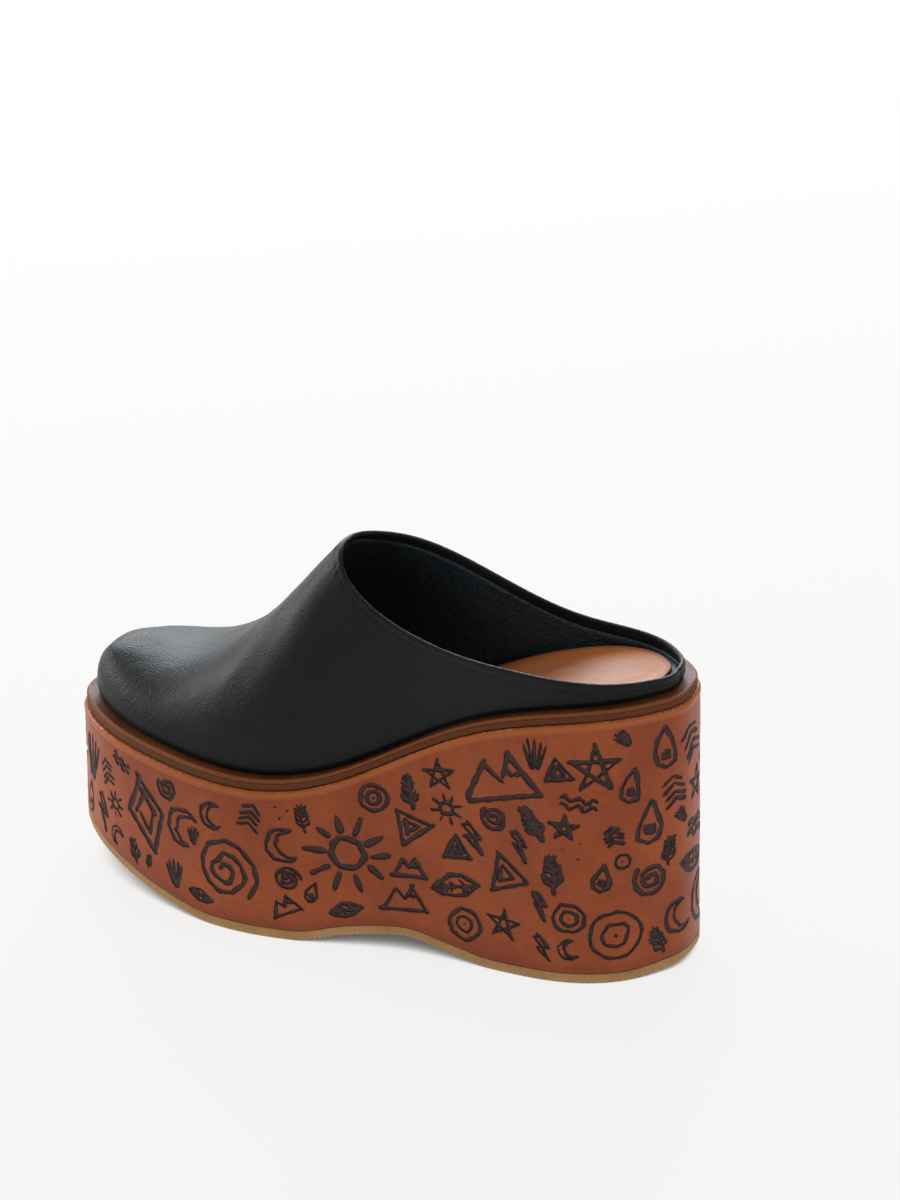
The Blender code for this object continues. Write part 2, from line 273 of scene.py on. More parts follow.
def piece(name, verts, faces, mats, face_mats=None, sharp=None, normals=None, attributes=None):
    mesh = bpy.data.meshes.new(name)
    mesh.from_pydata(np.asarray(verts).tolist(), [], faces)
    for mat in mats:
        mesh.materials.append(mat)
    if face_mats is not None:
        mesh.polygons.foreach_set("material_index", np.asarray(face_mats, np.int32))
    for key, values in (attributes or {}).items():
        attribute = mesh.attributes.new(key, "FLOAT", "POINT")
        attribute.data.foreach_set("value", np.asarray(values, np.float32))
    bm = bmesh.new()
    bm.from_mesh(mesh)
    bmesh.ops.recalc_face_normals(bm, faces=bm.faces)
    bm.to_mesh(mesh)
    bm.free()
    mesh.shade_smooth()
    if sharp is not None:
        mesh.set_sharp_from_angle(angle=math.radians(sharp))
    mesh.update()
    if normals is not None:
        mesh.normals_split_custom_set_from_vertices(np.asarray(normals).tolist())
    obj = bpy.data.objects.new(name, mesh)
    bpy.context.scene.collection.objects.link(obj)
    return obj


def tube_faces(rows, cols, close_rows=True, close_cols=True, start=0):
    """Quads of a grid of rows by cols, closed where asked. Rows go up, columns go round."""
    faces = []
    for i in range(rows if close_rows else rows - 1):
        a, b = start + i * cols, start + (i + 1) % rows * cols
        for j in range(cols if close_cols else cols - 1):
            k = (j + 1) % cols
            faces.append((a + j, a + k, b + k, b + j))
    return faces


def grid_normals(grid, wrap):
    """Unit normals of a grid of points [row, column], columns closed where wrap is set."""
    if wrap:
        along = np.roll(grid, -1, 1) - np.roll(grid, 1, 1)
    else:
        along = np.gradient(grid, axis=1)
    up = np.gradient(grid, axis=0)
    normal = np.cross(along, up)
    return normal / np.maximum(np.linalg.norm(normal, axis=2), 1e-12)[:, :, None]


def settle(obj, slot, *nodes):
    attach(obj, "root")
    if nodes:
        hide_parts(*nodes)
    return obj


# ================================================================ materials
class Look:
    """A Principled material built from nodes, in the object's own coordinates."""

    def __init__(self, name, roughness=0.5, **sockets):
        self.mat = bpy.data.materials.new(name)
        self.mat.use_nodes = True
        self.tree = self.mat.node_tree
        self.shader = self.tree.nodes["Principled BSDF"]
        self.shader.inputs["Roughness"].default_value = roughness
        for key, value in sockets.items():
            self.shader.inputs[key.replace("_", " ")].default_value = value
        self.place = self.tree.nodes.new("ShaderNodeTexCoord").outputs["Object"]

    def link(self, source, socket):
        self.tree.links.new(source, socket)

    def feed(self, socket, value):
        if isinstance(value, bpy.types.NodeSocket):
            self.link(value, socket)
        else:
            socket.default_value = value

    def scaled(self, x, y, z, source=None):
        node = self.tree.nodes.new("ShaderNodeMapping")
        self.link(source or self.place, node.inputs["Vector"])
        node.inputs["Scale"].default_value = (x, y, z)
        return node.outputs["Vector"]

    def noise(self, scale, detail=3.0, rough=0.5, source=None, warp=0.0):
        node = self.tree.nodes.new("ShaderNodeTexNoise")
        self.link(source or self.place, node.inputs["Vector"])
        node.inputs["Scale"].default_value = scale
        node.inputs["Detail"].default_value = detail
        node.inputs["Roughness"].default_value = rough
        node.inputs["Distortion"].default_value = warp
        return node.outputs["Fac"]

    def cells(self, scale, feature="F1", source=None, rand=1.0):
        node = self.tree.nodes.new("ShaderNodeTexVoronoi")
        node.feature = feature
        self.link(source or self.place, node.inputs["Vector"])
        node.inputs["Scale"].default_value = scale
        node.inputs["Randomness"].default_value = rand
        return node.outputs["Distance"]

    def attribute(self, name):
        node = self.tree.nodes.new("ShaderNodeAttribute")
        node.attribute_name = name
        return node.outputs["Fac"]

    def math(self, kind, a, b=0.0, c=0.0, clamp=False):
        node = self.tree.nodes.new("ShaderNodeMath")
        node.operation = kind
        node.use_clamp = clamp
        for socket, value in zip(node.inputs, (a, b, c)):
            self.feed(socket, value)
        return node.outputs[0]

    def span(self, value, low, high, to_low=0.0, to_high=1.0, eased=False):
        node = self.tree.nodes.new("ShaderNodeMapRange")
        node.interpolation_type = "SMOOTHSTEP" if eased else "LINEAR"
        self.feed(node.inputs["Value"], value)
        node.inputs["From Min"].default_value = low
        node.inputs["From Max"].default_value = high
        node.inputs["To Min"].default_value = to_low
        node.inputs["To Max"].default_value = to_high
        return node.outputs["Result"]

    def mix(self, factor, a, b, kind="MIX"):
        node = self.tree.nodes.new("ShaderNodeMix")
        node.data_type = "RGBA"
        node.blend_type = kind
        sockets = [s for s in node.inputs if s.enabled]
        for socket, value in zip(sockets, (factor, a, b)):
            if not isinstance(value, bpy.types.NodeSocket) and isinstance(value, tuple):
                value = (*value, 1.0)[:4]
            self.feed(socket, value)
        return [s for s in node.outputs if s.enabled][0]

    def vector(self, x, y, z):
        node = self.tree.nodes.new("ShaderNodeCombineXYZ")
        for socket, value in zip(node.inputs, (x, y, z)):
            self.feed(socket, value)
        return node.outputs[0]

    def bump(self, height, distance, strength=1.0, after=None):
        node = self.tree.nodes.new("ShaderNodeBump")
        node.inputs["Strength"].default_value = strength
        node.inputs["Distance"].default_value = distance
        self.link(height, node.inputs["Height"])
        if after is not None:
            self.link(after, node.inputs["Normal"])
        return node.outputs["Normal"]

    def done(self, colour, roughness=None, normal=None):
        self.feed(self.shader.inputs["Base Color"], colour)
        if roughness is not None:
            self.feed(self.shader.inputs["Roughness"], roughness)
        if normal is not None:
            self.link(normal, self.shader.inputs["Normal"])
        return self.mat


def black_nappa():
    look = Look("Black_Nappa", 0.4)
    look.shader.inputs["Specular IOR Level"].default_value = 0.15
    look.shader.inputs["Coat Weight"].default_value = 0.03
    look.shader.inputs["Coat Roughness"].default_value = 0.22
    cloud = look.noise(38.0, 4.0, 0.55)
    pores = look.cells(1500.0)
    grain = look.noise(1150.0, 3.0, 0.6)
    colour = look.mix(look.span(cloud, 0.32, 0.68), (0.0088, 0.0098, 0.0114),
                      (0.0132, 0.0145, 0.0164))
    rough = look.math("ADD", look.span(cloud, 0.3, 0.7, 0.36, 0.42),
                      look.span(grain, 0.3, 0.7, -0.03, 0.03))
    normal = look.bump(pores, 0.00028, 0.55)
    normal = look.bump(grain, 0.00030, 0.65, normal)
    normal = look.bump(look.noise(240.0, 2.0, 0.5), 0.0004, 0.16, normal)
    return look.done(colour, rough, normal)


def black_lining():
    look = Look("Black_Lining_Leather", 0.5)
    look.shader.inputs["Specular IOR Level"].default_value = 0.60
    look.shader.inputs["Coat Weight"].default_value = 0.04
    look.shader.inputs["Coat Roughness"].default_value = 0.30
    grain = look.noise(800.0, 3.0, 0.65)
    pores = look.cells(950.0)
    colour = look.mix(look.span(grain, 0.35, 0.7), (0.0095, 0.0220, 0.0280),
                      (0.0280, 0.0530, 0.0640))
    normal = look.bump(pores, 0.00042, 0.70)
    normal = look.bump(grain, 0.00042, 0.75, normal)
    return look.done(colour, look.span(grain, 0.3, 0.7, 0.34, 0.46), normal)


def cover_leather():
    """Red-brown calf with carved marks: the attribute "cut" is millimetres from a cut's edge."""
    look = Look("Carved_Cover_Leather", 0.4)
    look.shader.inputs["Specular IOR Level"].default_value = 0.15
    look.shader.inputs["Coat Weight"].default_value = 0.12
    look.shader.inputs["Coat Roughness"].default_value = 0.20
    cloud = look.noise(24.0, 5.0, 0.6, warp=0.4)
    fleck = look.noise(420.0, 4.0, 0.65)
    pores = look.cells(1300.0)
    body = look.mix(look.span(cloud, 0.30, 0.72, eased=True), (0.300, 0.058, 0.014),
                    (0.420, 0.092, 0.025))
    body = look.mix(look.span(fleck, 0.42, 0.75, 0.0, 0.35), body, (0.23, 0.040, 0.010))
    # the folded band along the upper edge is painted lighter and more orange, a painted highlight on its
    # proud fold; the foot of the wall is painted darker, a painted shade where it meets the outsole
    under = look.attribute("under")          # millimetres below the upper edge
    band = look.span(under, 3.4, 1.2, eased=True)
    # painted highlight: the folded band along the upper edge is coloured lighter and more orange
    body = look.mix(look.math("MULTIPLY", band, 0.75), body, (0.50, 0.135, 0.032))
    torn = look.math("MULTIPLY", look.span(under, 0.8, 0.0, eased=True),
                     look.math("MULTIPLY", look.span(look.noise(1100.0, 2.0, 0.5), 0.50, 0.62),
                               look.span(look.noise(130.0, 2.0, 0.5), 0.42, 0.60)))
    body = look.mix(look.math("MULTIPLY", torn, 0.7), body, (0.66, 0.32, 0.17))
    above = look.attribute("above")          # millimetres above the foot of the wall
    # painted shade: the lowest 5 mm of the wall are darkened where it meets the outsole
    body = look.mix(look.span(above, 5.0, 0.0, 0.0, 0.45, eased=True), body, (0.17, 0.034, 0.010))
    cut = look.math("ADD", look.attribute("cut"),
                    look.span(look.noise(1100.0, 2.0, 0.5), 0.3, 0.7, -0.10, 0.10))
    inside = look.span(cut, 0.10, -0.06, eased=True)
    floor = look.span(cut, -0.22, -0.46, eased=True)
    scorch = look.span(cut, 0.75, 0.05, 0.0, 0.30, eased=True)
    body = look.mix(scorch, body, (0.10, 0.028, 0.014))
    burnt = look.mix(look.span(look.noise(650.0, 3.0, 0.6), 0.35, 0.7), (0.046, 0.022, 0.021),
                     (0.072, 0.034, 0.032))
    mark = look.mix(floor, (0.012, 0.006, 0.005), burnt)
    colour = look.mix(inside, body, mark)
    rough = look.math("ADD", look.span(cloud, 0.3, 0.7, 0.36, 0.44), look.math("MULTIPLY", inside, 0.22))
    normal = look.bump(pores, 0.00010, 0.18)
    normal = look.bump(look.noise(760.0, 3.0, 0.6), 0.00012, 0.30, normal)
    normal = look.bump(look.noise(130.0, 3.0, 0.5), 0.0006, 0.14, normal)
    normal = look.bump(look.math("MULTIPLY", inside, -1.0), 0.00025, 0.55, normal)
    return look.done(colour, rough, normal)


def leather_board():
    """Stacked board: fibrous on its edge, burnished and painted darker on its upper face, partly as painted
    shade under the overhang of the upper; its rounded upper edge carries a painted highlight.
    """
    look = Look("Leather_Board_Edge", 0.55)
    look.shader.inputs["Specular IOR Level"].default_value = 0.2
    run, lift = look.attribute("run"), look.attribute("lift")     # millimetres
    fibres = look.noise(1.0, 5.0, 0.65, source=look.vector(look.math("MULTIPLY", run, 0.55),
                                                           look.math("MULTIPLY", lift, 4.2), 0.0))
    fluff = look.noise(1700.0, 4.0, 0.7)
    cloud = look.noise(55.0, 3.0, 0.5)
    edge = look.mix(look.span(fibres, 0.33, 0.68), (0.080, 0.021, 0.006), (0.200, 0.062, 0.018))
    edge = look.mix(look.span(fluff, 0.5, 0.75, 0.0, 0.45), edge, (0.28, 0.105, 0.036))
    # partly painted shade: the burnished upper face is coloured darker than the edge, for the shade under
    # the upper's overhang
    top = look.mix(look.span(cloud, 0.3, 0.7), (0.080, 0.021, 0.006), (0.145, 0.042, 0.012))
    lip = look.attribute("lip")              # 1 on the rounded upper edge, 0 elsewhere
    face = look.attribute("face")            # 1 on the upper face, 0 on the edge
    colour = look.mix(face, edge, top)
    # painted highlight: the rounded upper edge is coloured lighter than the board
    colour = look.mix(look.math("MULTIPLY", lip, 0.80), colour, (0.27, 0.078, 0.020))
    rough = look.span(face, 0.0, 1.0, 0.62, 0.42)
    normal = look.bump(fibres, 0.00035, 0.5)
    normal = look.bump(fluff, 0.00012, 0.45, normal)
    return look.done(colour, rough, normal)


def gum_rubber():
    look = Look("Gum_Rubber_Sole", 0.6)
    look.shader.inputs["Specular IOR Level"].default_value = 0.25
    cloud = look.noise(70.0, 4.0, 0.6)
    dust = look.noise(900.0, 3.0, 0.6)
    colour = look.mix(look.span(cloud, 0.3, 0.7), (0.40, 0.205, 0.070), (0.50, 0.285, 0.110))
    colour = look.mix(look.span(dust, 0.5, 0.8, 0.0, 0.35), colour, (0.28, 0.14, 0.05))
    normal = look.bump(dust, 0.00012, 0.4)
    return look.done(colour, look.span(dust, 0.3, 0.7, 0.52, 0.68), normal)


def tan_sock():
    look = Look("Tan_Sock_Leather", 0.42)
    look.shader.inputs["Specular IOR Level"].default_value = 0.10
    look.shader.inputs["Coat Weight"].default_value = 0.03
    look.shader.inputs["Coat Roughness"].default_value = 0.22
    cloud = look.noise(30.0, 4.0, 0.55)
    drawn = look.noise(1.0, 3.0, 0.5, source=look.scaled(95.0, 26.0, 60.0), warp=0.3)
    grain = look.noise(1000.0, 3.0, 0.6)
    pores = look.cells(1250.0)
    inward = look.attribute("rim")           # millimetres in from the edge
    colour = look.mix(look.span(cloud, 0.3, 0.7), (0.43, 0.130, 0.032), (0.48, 0.155, 0.044))
    # painted highlight: the centre of the sock is painted paler than its orange border, with paler drawn
    # streaks, for the soft sheen it catches
    centre_sheen = look.mix(look.span(cloud, 0.3, 0.7), (0.37, 0.128, 0.052), (0.42, 0.153, 0.066))
    centre_sheen = look.mix(look.span(drawn, 0.40, 0.64, 0.0, 0.55, eased=True), centre_sheen, (0.48, 0.215, 0.110))
    colour = look.mix(look.span(inward, 4.0, 19.0, eased=True), colour, centre_sheen)
    rim = look.span(inward, 1.5, 0.2, 0.0, 0.6, eased=True)
    colour = look.mix(rim, colour, (0.24, 0.070, 0.020))
    normal = look.bump(pores, 0.00016, 0.35)
    normal = look.bump(grain, 0.00016, 0.45, normal)
    normal = look.bump(drawn, 0.0010, 0.30, normal)
    return look.done(colour, look.span(grain, 0.3, 0.7, 0.34, 0.44), normal)


NAPPA, LINING, COVER = black_nappa(), black_lining(), cover_leather()
BOARD, RUBBER, TAN = leather_board(), gum_rubber(), tan_sock()


# ================================================================ outsole
RIB_PITCH = 0.0021
RIB_DEPTH = 0.00045
SOLE_STATIONS = 620


def ribs(y):
    """Transverse ribs: the tread stands on their crests."""
    wave = 0.5 - 0.5 * np.cos(2 * math.pi * y / RIB_PITCH)
    return RIB_DEPTH * smooth(0.45, 0.75, wave)


def build_outsole():
    rows = (
        (-WALL_FLARE + 0.0005, 0.0, True), (-WALL_FLARE + 0.00012, 0.00035, True),
        (-WALL_FLARE, 0.0009, False), (-WALL_FLARE + 0.00005, 0.0020, False),
        (-WALL_FLARE, 0.0032, False), (-WALL_FLARE + 0.00008, OUTSOLE_THICK - 0.0002, False),
        (-WALL_FLARE + 0.0003, OUTSOLE_THICK, False),
    )
    verts = []
    for inset, lift, ribbed in rows:
        plan, _ = ring(inset, SOLE_STATIONS)
        z = tread_height(station(plan[:, 1])) + lift
        if ribbed:
            z = z + ribs(plan[:, 1])
        verts.append(np.column_stack([plan, z]))
    cols = 2 * SOLE_STATIONS
    faces = tube_faces(len(rows), cols, close_rows=False)
    top = (len(rows) - 1) * cols
    for base, flip in ((0, True), (top, False)):
        pairs = [(base + i, base + cols - i) for i in range(1, SOLE_STATIONS)]
        for (a, b), (c, d) in zip(pairs, pairs[1:]):
            faces.append((a, c, d, b) if flip else (a, b, d, c))
        for tip, (a, b) in ((base, pairs[0]), (base + SOLE_STATIONS, pairs[-1])):
            turn = (tip == base) != flip
            faces.append((tip, b, a) if turn else (tip, a, b))
    obj = piece("Outsole_Rubber", place(np.concatenate(verts)), faces, [RUBBER], sharp=32)
    return settle(obj, "gum_rubber", "Outsole")


# ================================================================ carved marks
GRID_MM = 0.2                       # step of the map that the cuts are drawn on
MAP_TALL = int(120 / GRID_MM)
MAP_WIDE = int(round(PERIMETER * 1000 / GRID_MM))
REACH_MM = 4.0                      # how far from a cut the map knows its distance


class CutMap:
    """Signed distance, in millimetres, to the edges of the cuts on the unrolled wall."""

    def __init__(self, seed):
        self.field = np.full((MAP_TALL, MAP_WIDE), REACH_MM)
        self.rng = random.Random(seed)
        share = (np.arange(MAP_WIDE) + 0.5) / MAP_WIDE
        plan, _ = outline_at(share)
        t = station(plan[:, 1])
        self.low = (tread_height(t) + OUTSOLE_THICK + GAP) * 1000
        self.high = top_height(t) * 1000

    def room(self, discs, gap, low=2.4, high=3.6):
        """Whether the discs keep clear of other cuts and of the wall's edges."""
        s, z, r = discs.T
        col = np.floor(s / GRID_MM).astype(int) % MAP_WIDE
        row = np.floor(z / GRID_MM).astype(int)
        if row.min() < 0 or row.max() >= MAP_TALL:
            return False
        if (z - r < self.low[col] + low).any() or (z + r > self.high[col] - high).any():
            return False
        return bool((self.field[row, col] - r).min() > gap)

    def cut(self, discs):
        for s, z, r in discs:
            reach = r + REACH_MM
            cols = np.arange(int((s - reach) / GRID_MM), int((s + reach) / GRID_MM) + 2)
            rows = np.arange(max(0, int((z - reach) / GRID_MM)),
                             min(MAP_TALL, int((z + reach) / GRID_MM) + 2))
            d = np.hypot((cols * GRID_MM + GRID_MM / 2 - s)[None, :],
                         (rows * GRID_MM + GRID_MM / 2 - z)[:, None]) - r
            at = np.ix_(rows, cols % MAP_WIDE)
            self.field[at] = np.minimum(self.field[at], d)

    def read(self, share, z_mm):
        """Distance at places on the wall, between the map's points."""
        x = share * MAP_WIDE - 0.5
        y = z_mm / GRID_MM - 0.5
        i, j = np.floor(x).astype(int), np.clip(np.floor(y).astype(int), 0, MAP_TALL - 2)
        u, v = x - i, np.clip(y - j, 0, 1)
        a, b = i % MAP_WIDE, (i + 1) % MAP_WIDE
        return ((self.field[j, a] * (1 - u) + self.field[j, b] * u) * (1 - v)
                + (self.field[j + 1, a] * (1 - u) + self.field[j + 1, b] * u) * v)


def arc(cx, cy, r, start, end, steps, squash=1.0):
    return [(cx + r * math.cos(math.radians(a)), cy + squash * r * math.sin(math.radians(a)))
            for a in np.linspace(start, end, steps)]


# Each motif is a list of cuts in a unit square, each cut a list of points.
def motif_star(rng):
    pts = [(0.5 * math.cos(math.radians(90 + 144 * k)), 0.5 * math.sin(math.radians(90 + 144 * k)))
           for k in range(6)]
    return [pts[k:k + 2] for k in range(5)]


def motif_spiral(rng):
    turns = rng.uniform(2.0, 2.6)
    steps = int(turns * 11)
    return [[((0.05 + 0.45 * k / steps) * math.cos(2 * math.pi * turns * k / steps),
              (0.05 + 0.45 * k / steps) * math.sin(2 * math.pi * turns * k / steps))
             for k in range(steps + 1)]]


def motif_zigzag(rng):
    n = rng.choice((6, 8))
    pts = [(-0.5 + k / n, 0.10 * (1 if k % 2 else -1)) for k in range(n + 1)]
    return ([pts[k:k + 2] for k in range(n)]
            + [[(-0.5, -0.27), (0.5, -0.27)], [(-0.5, 0.27), (0.5, 0.27)]])


def motif_crescent(rng):
    outer = arc(0, 0, 0.5, -125, 125, 14)
    inner = arc(-0.20, 0, 0.42, 103, -103, 12)
    return [outer, [outer[-1]] + inner[1:-1] + [outer[0]]]


def motif_triangles(rng):
    def tri(r):
        return [(r * math.cos(math.radians(90 + 120 * k)), r * math.sin(math.radians(90 + 120 * k)))
                for k in range(4)]
    big, small = tri(0.5), tri(0.2)
    return [big[k:k + 2] for k in range(3)] + [small[k:k + 2] for k in range(3)]


def motif_diamonds(rng):
    out = []
    for r in (0.5, 0.26):
        pts = [(0.62 * r, 0), (0, r), (-0.62 * r, 0), (0, -r), (0.62 * r, 0)]
        out += [pts[k:k + 2] for k in range(4)]
    return out


def motif_waves(rng):
    out = []
    for lift in (-0.12, 0.10):
        out.append([(-0.5 + k / 24, lift + 0.075 * math.sin(k / 24 * 2 * math.pi * 2.5))
                    for k in range(25)])
    return out


def motif_sun(rng):
    out = [arc(0, 0, 0.20, 20, 385, 15)]
    n = rng.choice((8, 9, 10))
    for k in range(n):
        a = 2 * math.pi * k / n + 0.2
        out.append([(0.30 * math.cos(a), 0.30 * math.sin(a)), (0.5 * math.cos(a), 0.5 * math.sin(a))])
    return out


def motif_sprig(rng):
    bend = rng.uniform(-0.10, 0.10)

    def stem(u):
        return (bend * math.sin(math.pi * u), -0.5 + u)
    out = [[stem(u) for u in np.linspace(0, 0.98, 9)]]
    for k in range(5):
        x, y = stem(0.18 + 0.16 * k)
        size = 0.24 * (1 - 0.12 * k)
        for side in (-1, 1):
            out.append([(x, y), (x + side * size * 0.75, y + size * 0.45),
                        (x + side * size, y + size)])
    return out


def motif_squares(rng):
    out = []
    for r in (0.46, 0.24):
        pts = [(-r, -r), (r, -r), (r, r), (-r, r), (-r, -r)]
        out += [pts[k:k + 2] for k in range(4)]
    return out


def motif_ladder(rng):
    out = [[(-0.5, -0.15), (0.5, -0.15)], [(-0.5, 0.15), (0.5, 0.15)]]
    for k in range(5):
        x = -0.5 + 0.25 * k
        out.append([(x, -0.15), (x, 0.15)])
    return out


def motif_bolt(rng):
    pts = [(0.06, 0.5), (-0.20, 0.0), (0.0, 0.04), (-0.10, -0.5), (0.22, 0.10), (0.02, 0.08),
           (0.24, 0.46), (0.06, 0.5)]
    return [pts[k:k + 2] for k in range(7)]


def motif_target(rng):
    return [arc(0, 0, 0.48, 0, 365, 22), arc(0, 0, 0.25, 30, 395, 14), [(0, 0), (0.02, 0.01)]]


def motif_chevrons(rng):
    out = []
    for k in range(4):
        y = -0.36 + 0.20 * k
        out.append([(-0.30, y), (0, y + 0.17)])
        out.append([(0, y + 0.17), (0.30, y)])
    return out


def motif_flower(rng):
    out = [arc(0, 0, 0.11, 0, 370, 9)]
    for k in range(6):
        a = math.radians(60 * k + 15)
        cx, cy = 0.31 * math.cos(a), 0.31 * math.sin(a)
        out.append([(cx + 0.17 * math.cos(b + a), cy + 0.13 * math.sin(b + a))
                    for b in np.linspace(math.pi * 1.25, math.pi * 2.95, 9) - math.pi * 0.1])
    return out


def motif_peaks(rng):
    pts = [(-0.5, -0.28), (-0.20, 0.30), (-0.02, -0.02), (0.16, 0.20), (0.5, -0.28), (-0.5, -0.28)]
    out = [pts[k:k + 2] for k in range(5)]
    return out + [[(-0.31, 0.09), (-0.23, 0.02)], [(-0.23, 0.02), (-0.16, 0.10)],
                  [(-0.16, 0.10), (-0.10, 0.06)]]


def motif_leaf(rng):
    side = [(-0.5, 0), (-0.25, 0.17), (0.05, 0.22), (0.32, 0.13), (0.5, 0)]
    out = [side, [(x, -y) for x, y in side], [(-0.5, 0), (0.38, 0)]]
    for x in (-0.22, 0.0, 0.2):
        out += [[(x, 0), (x + 0.10, 0.13)], [(x, 0), (x + 0.10, -0.13)]]
    return out


def motif_drop(rng):
    shell = [(0, 0.5), (-0.16, 0.18), (-0.27, -0.10), (-0.22, -0.36), (0, -0.48), (0.22, -0.36),
             (0.27, -0.10), (0.16, 0.18), (0, 0.5)]
    return [shell[:5], shell[4:], arc(0, -0.17, 0.09, 0, 370, 8)]


def motif_fan(rng):
    return [[(0.06 * k, -0.5), (0.5 * math.sin(math.radians(22 * k)),
                                 0.5 * math.cos(math.radians(22 * k)) - 0.1)] for k in (-2, -1, 0, 1, 2)]


def motif_dots(rng):
    return [[(0.45 * math.cos(a), 0.45 * math.sin(a)), (0.45 * math.cos(a) + 0.05, 0.45 * math.sin(a))]
            for a in (0.5, 2.6, 4.7)]


def motif_bead(rng):
    return [arc(0, 0, 0.45, 0, 370, 12), [(0, 0), (0.02, 0)]]


def motif_hex(rng):
    pts = [(0.5 * math.cos(math.radians(60 * k + 30)), 0.5 * math.sin(math.radians(60 * k + 30)))
           for k in range(7)]
    return [pts[k:k + 2] for k in range(6)] + [[(0, 0), pts[0]], [(0, 0), pts[2]], [(0, 0), pts[4]]]


# the motifs for each size of mark; their sizes and cut widths, in mm, are listed in carve()
LARGE = (motif_star, motif_sun, motif_spiral, motif_crescent, motif_diamonds, motif_triangles,
         motif_peaks, motif_bolt, motif_flower, motif_leaf, motif_squares, motif_hex)
BANDS = (motif_zigzag, motif_ladder, motif_waves)
MIDDLE = (motif_waves, motif_sprig, motif_chevrons, motif_star, motif_leaf, motif_target,
          motif_drop, motif_bolt, motif_triangles, motif_fan, motif_spiral, motif_sun,
          motif_crescent, motif_peaks)
SMALL = (motif_dots, motif_bead, motif_fan, motif_star, motif_diamonds, motif_drop,
         motif_sprig, motif_crescent)


def knife(rng, cuts, size, width):
    """Rough knife cuts as discs (x, z, radius) in mm: tapered ends, overshoots and nicks."""
    discs = []
    for cut in cuts:
        pts = [(x * size + rng.gauss(0, 0.018) * size, y * size + rng.gauss(0, 0.018) * size)
               for x, y in cut]
        straight = len(pts) == 2
        if straight:
            (x0, y0), (x1, y1) = pts
            run = math.hypot(x1 - x0, y1 - y0)
            if run > 2.5:
                over = rng.uniform(-0.2, 0.9)
                pts = [(x0 - (x1 - x0) / run * over, y0 - (y1 - y0) / run * over), (x1, y1)]
                if run > 5:
                    mid = 0.5 + rng.uniform(-0.15, 0.15)
                    pts.insert(1, (x0 + (x1 - x0) * mid + rng.gauss(0, 0.012) * run,
                                   y0 + (y1 - y0) * mid + rng.gauss(0, 0.012) * run))
        here = width * rng.uniform(0.75, 1.25)
        runs = [math.hypot(b[0] - a[0], b[1] - a[1]) for a, b in zip(pts, pts[1:])]
        total = max(sum(runs), 1e-6)
        blunt_a, blunt_b = rng.uniform(0.35, 1.0), rng.uniform(0.15, 0.9)
        phase, rate = rng.uniform(0, 6.3), rng.uniform(0.5, 1.1)
        done = 0.0
        for (a, b), run in zip(zip(pts, pts[1:]), runs):
            steps = max(1, int(run / 0.22))
            for k in range(steps + 1):
                u = (done + run * k / steps) / total
                along = u * total
                taper = min(1.0, blunt_a + along / 2.2, blunt_b + (total - along) / 2.6)
                swell = 1 + 0.16 * math.sin(along * rate + phase) + 0.05 * math.sin(along * 3.7 + 2 * phase)
                r = max(0.30, here / 2 * taper * swell)
                discs.append((a[0] + (b[0] - a[0]) * k / steps, a[1] + (b[1] - a[1]) * k / steps, r))
            done += run
    return np.array(discs)


def carve():
    marks = CutMap(41)
    rng = marks.rng
    wide = PERIMETER * 1000

    def try_place(motif, size, width, turn, tries, gap):
        for _ in range(tries):
            s = rng.uniform(0, wide)
            col = int(s / GRID_MM) % MAP_WIDE
            z = rng.uniform(marks.low[col] + 2, marks.high[col] - 2)
            discs = knife(rng, motif(rng), size, width)
            # the marks lean with the slope of the wall's upper edge
            ahead = int(s / GRID_MM + 60) % MAP_WIDE
            lean = math.atan2(marks.high[ahead] - marks.high[col], 60 * GRID_MM) * 0.8
            a = lean + math.radians(rng.uniform(-turn, turn))
            x = discs[:, 0] * math.cos(a) - discs[:, 1] * math.sin(a) + s
            y = discs[:, 0] * math.sin(a) + discs[:, 1] * math.cos(a) + z
            placed = np.column_stack([x, y, discs[:, 2]])
            if marks.room(placed, gap):
                marks.cut(placed)
                return True
        return False

    for count, kinds, sizes, widths, turn, gap, tries in (
        (9, LARGE, (27, 34), (1.9, 2.5), 18, 1.9, 400),
        (34, BANDS + MIDDLE, (15, 21), (1.4, 2.1), 20, 1.7, 320),
        (84, MIDDLE, (10.5, 14), (1.1, 1.7), 22, 1.5, 200),
        (44, SMALL, (6, 9), (0.9, 1.3), 40, 1.9, 120),
    ):
        for k in range(count):
            motif = kinds[k % len(kinds)]
            try_place(motif, rng.uniform(*sizes), rng.uniform(*widths), turn, tries, gap)
    return marks


# ================================================================ leather cover of the wedge
HALF_COLUMNS = 528
WALL_ROWS = 164
CUT_DEPTH_MM = 0.34


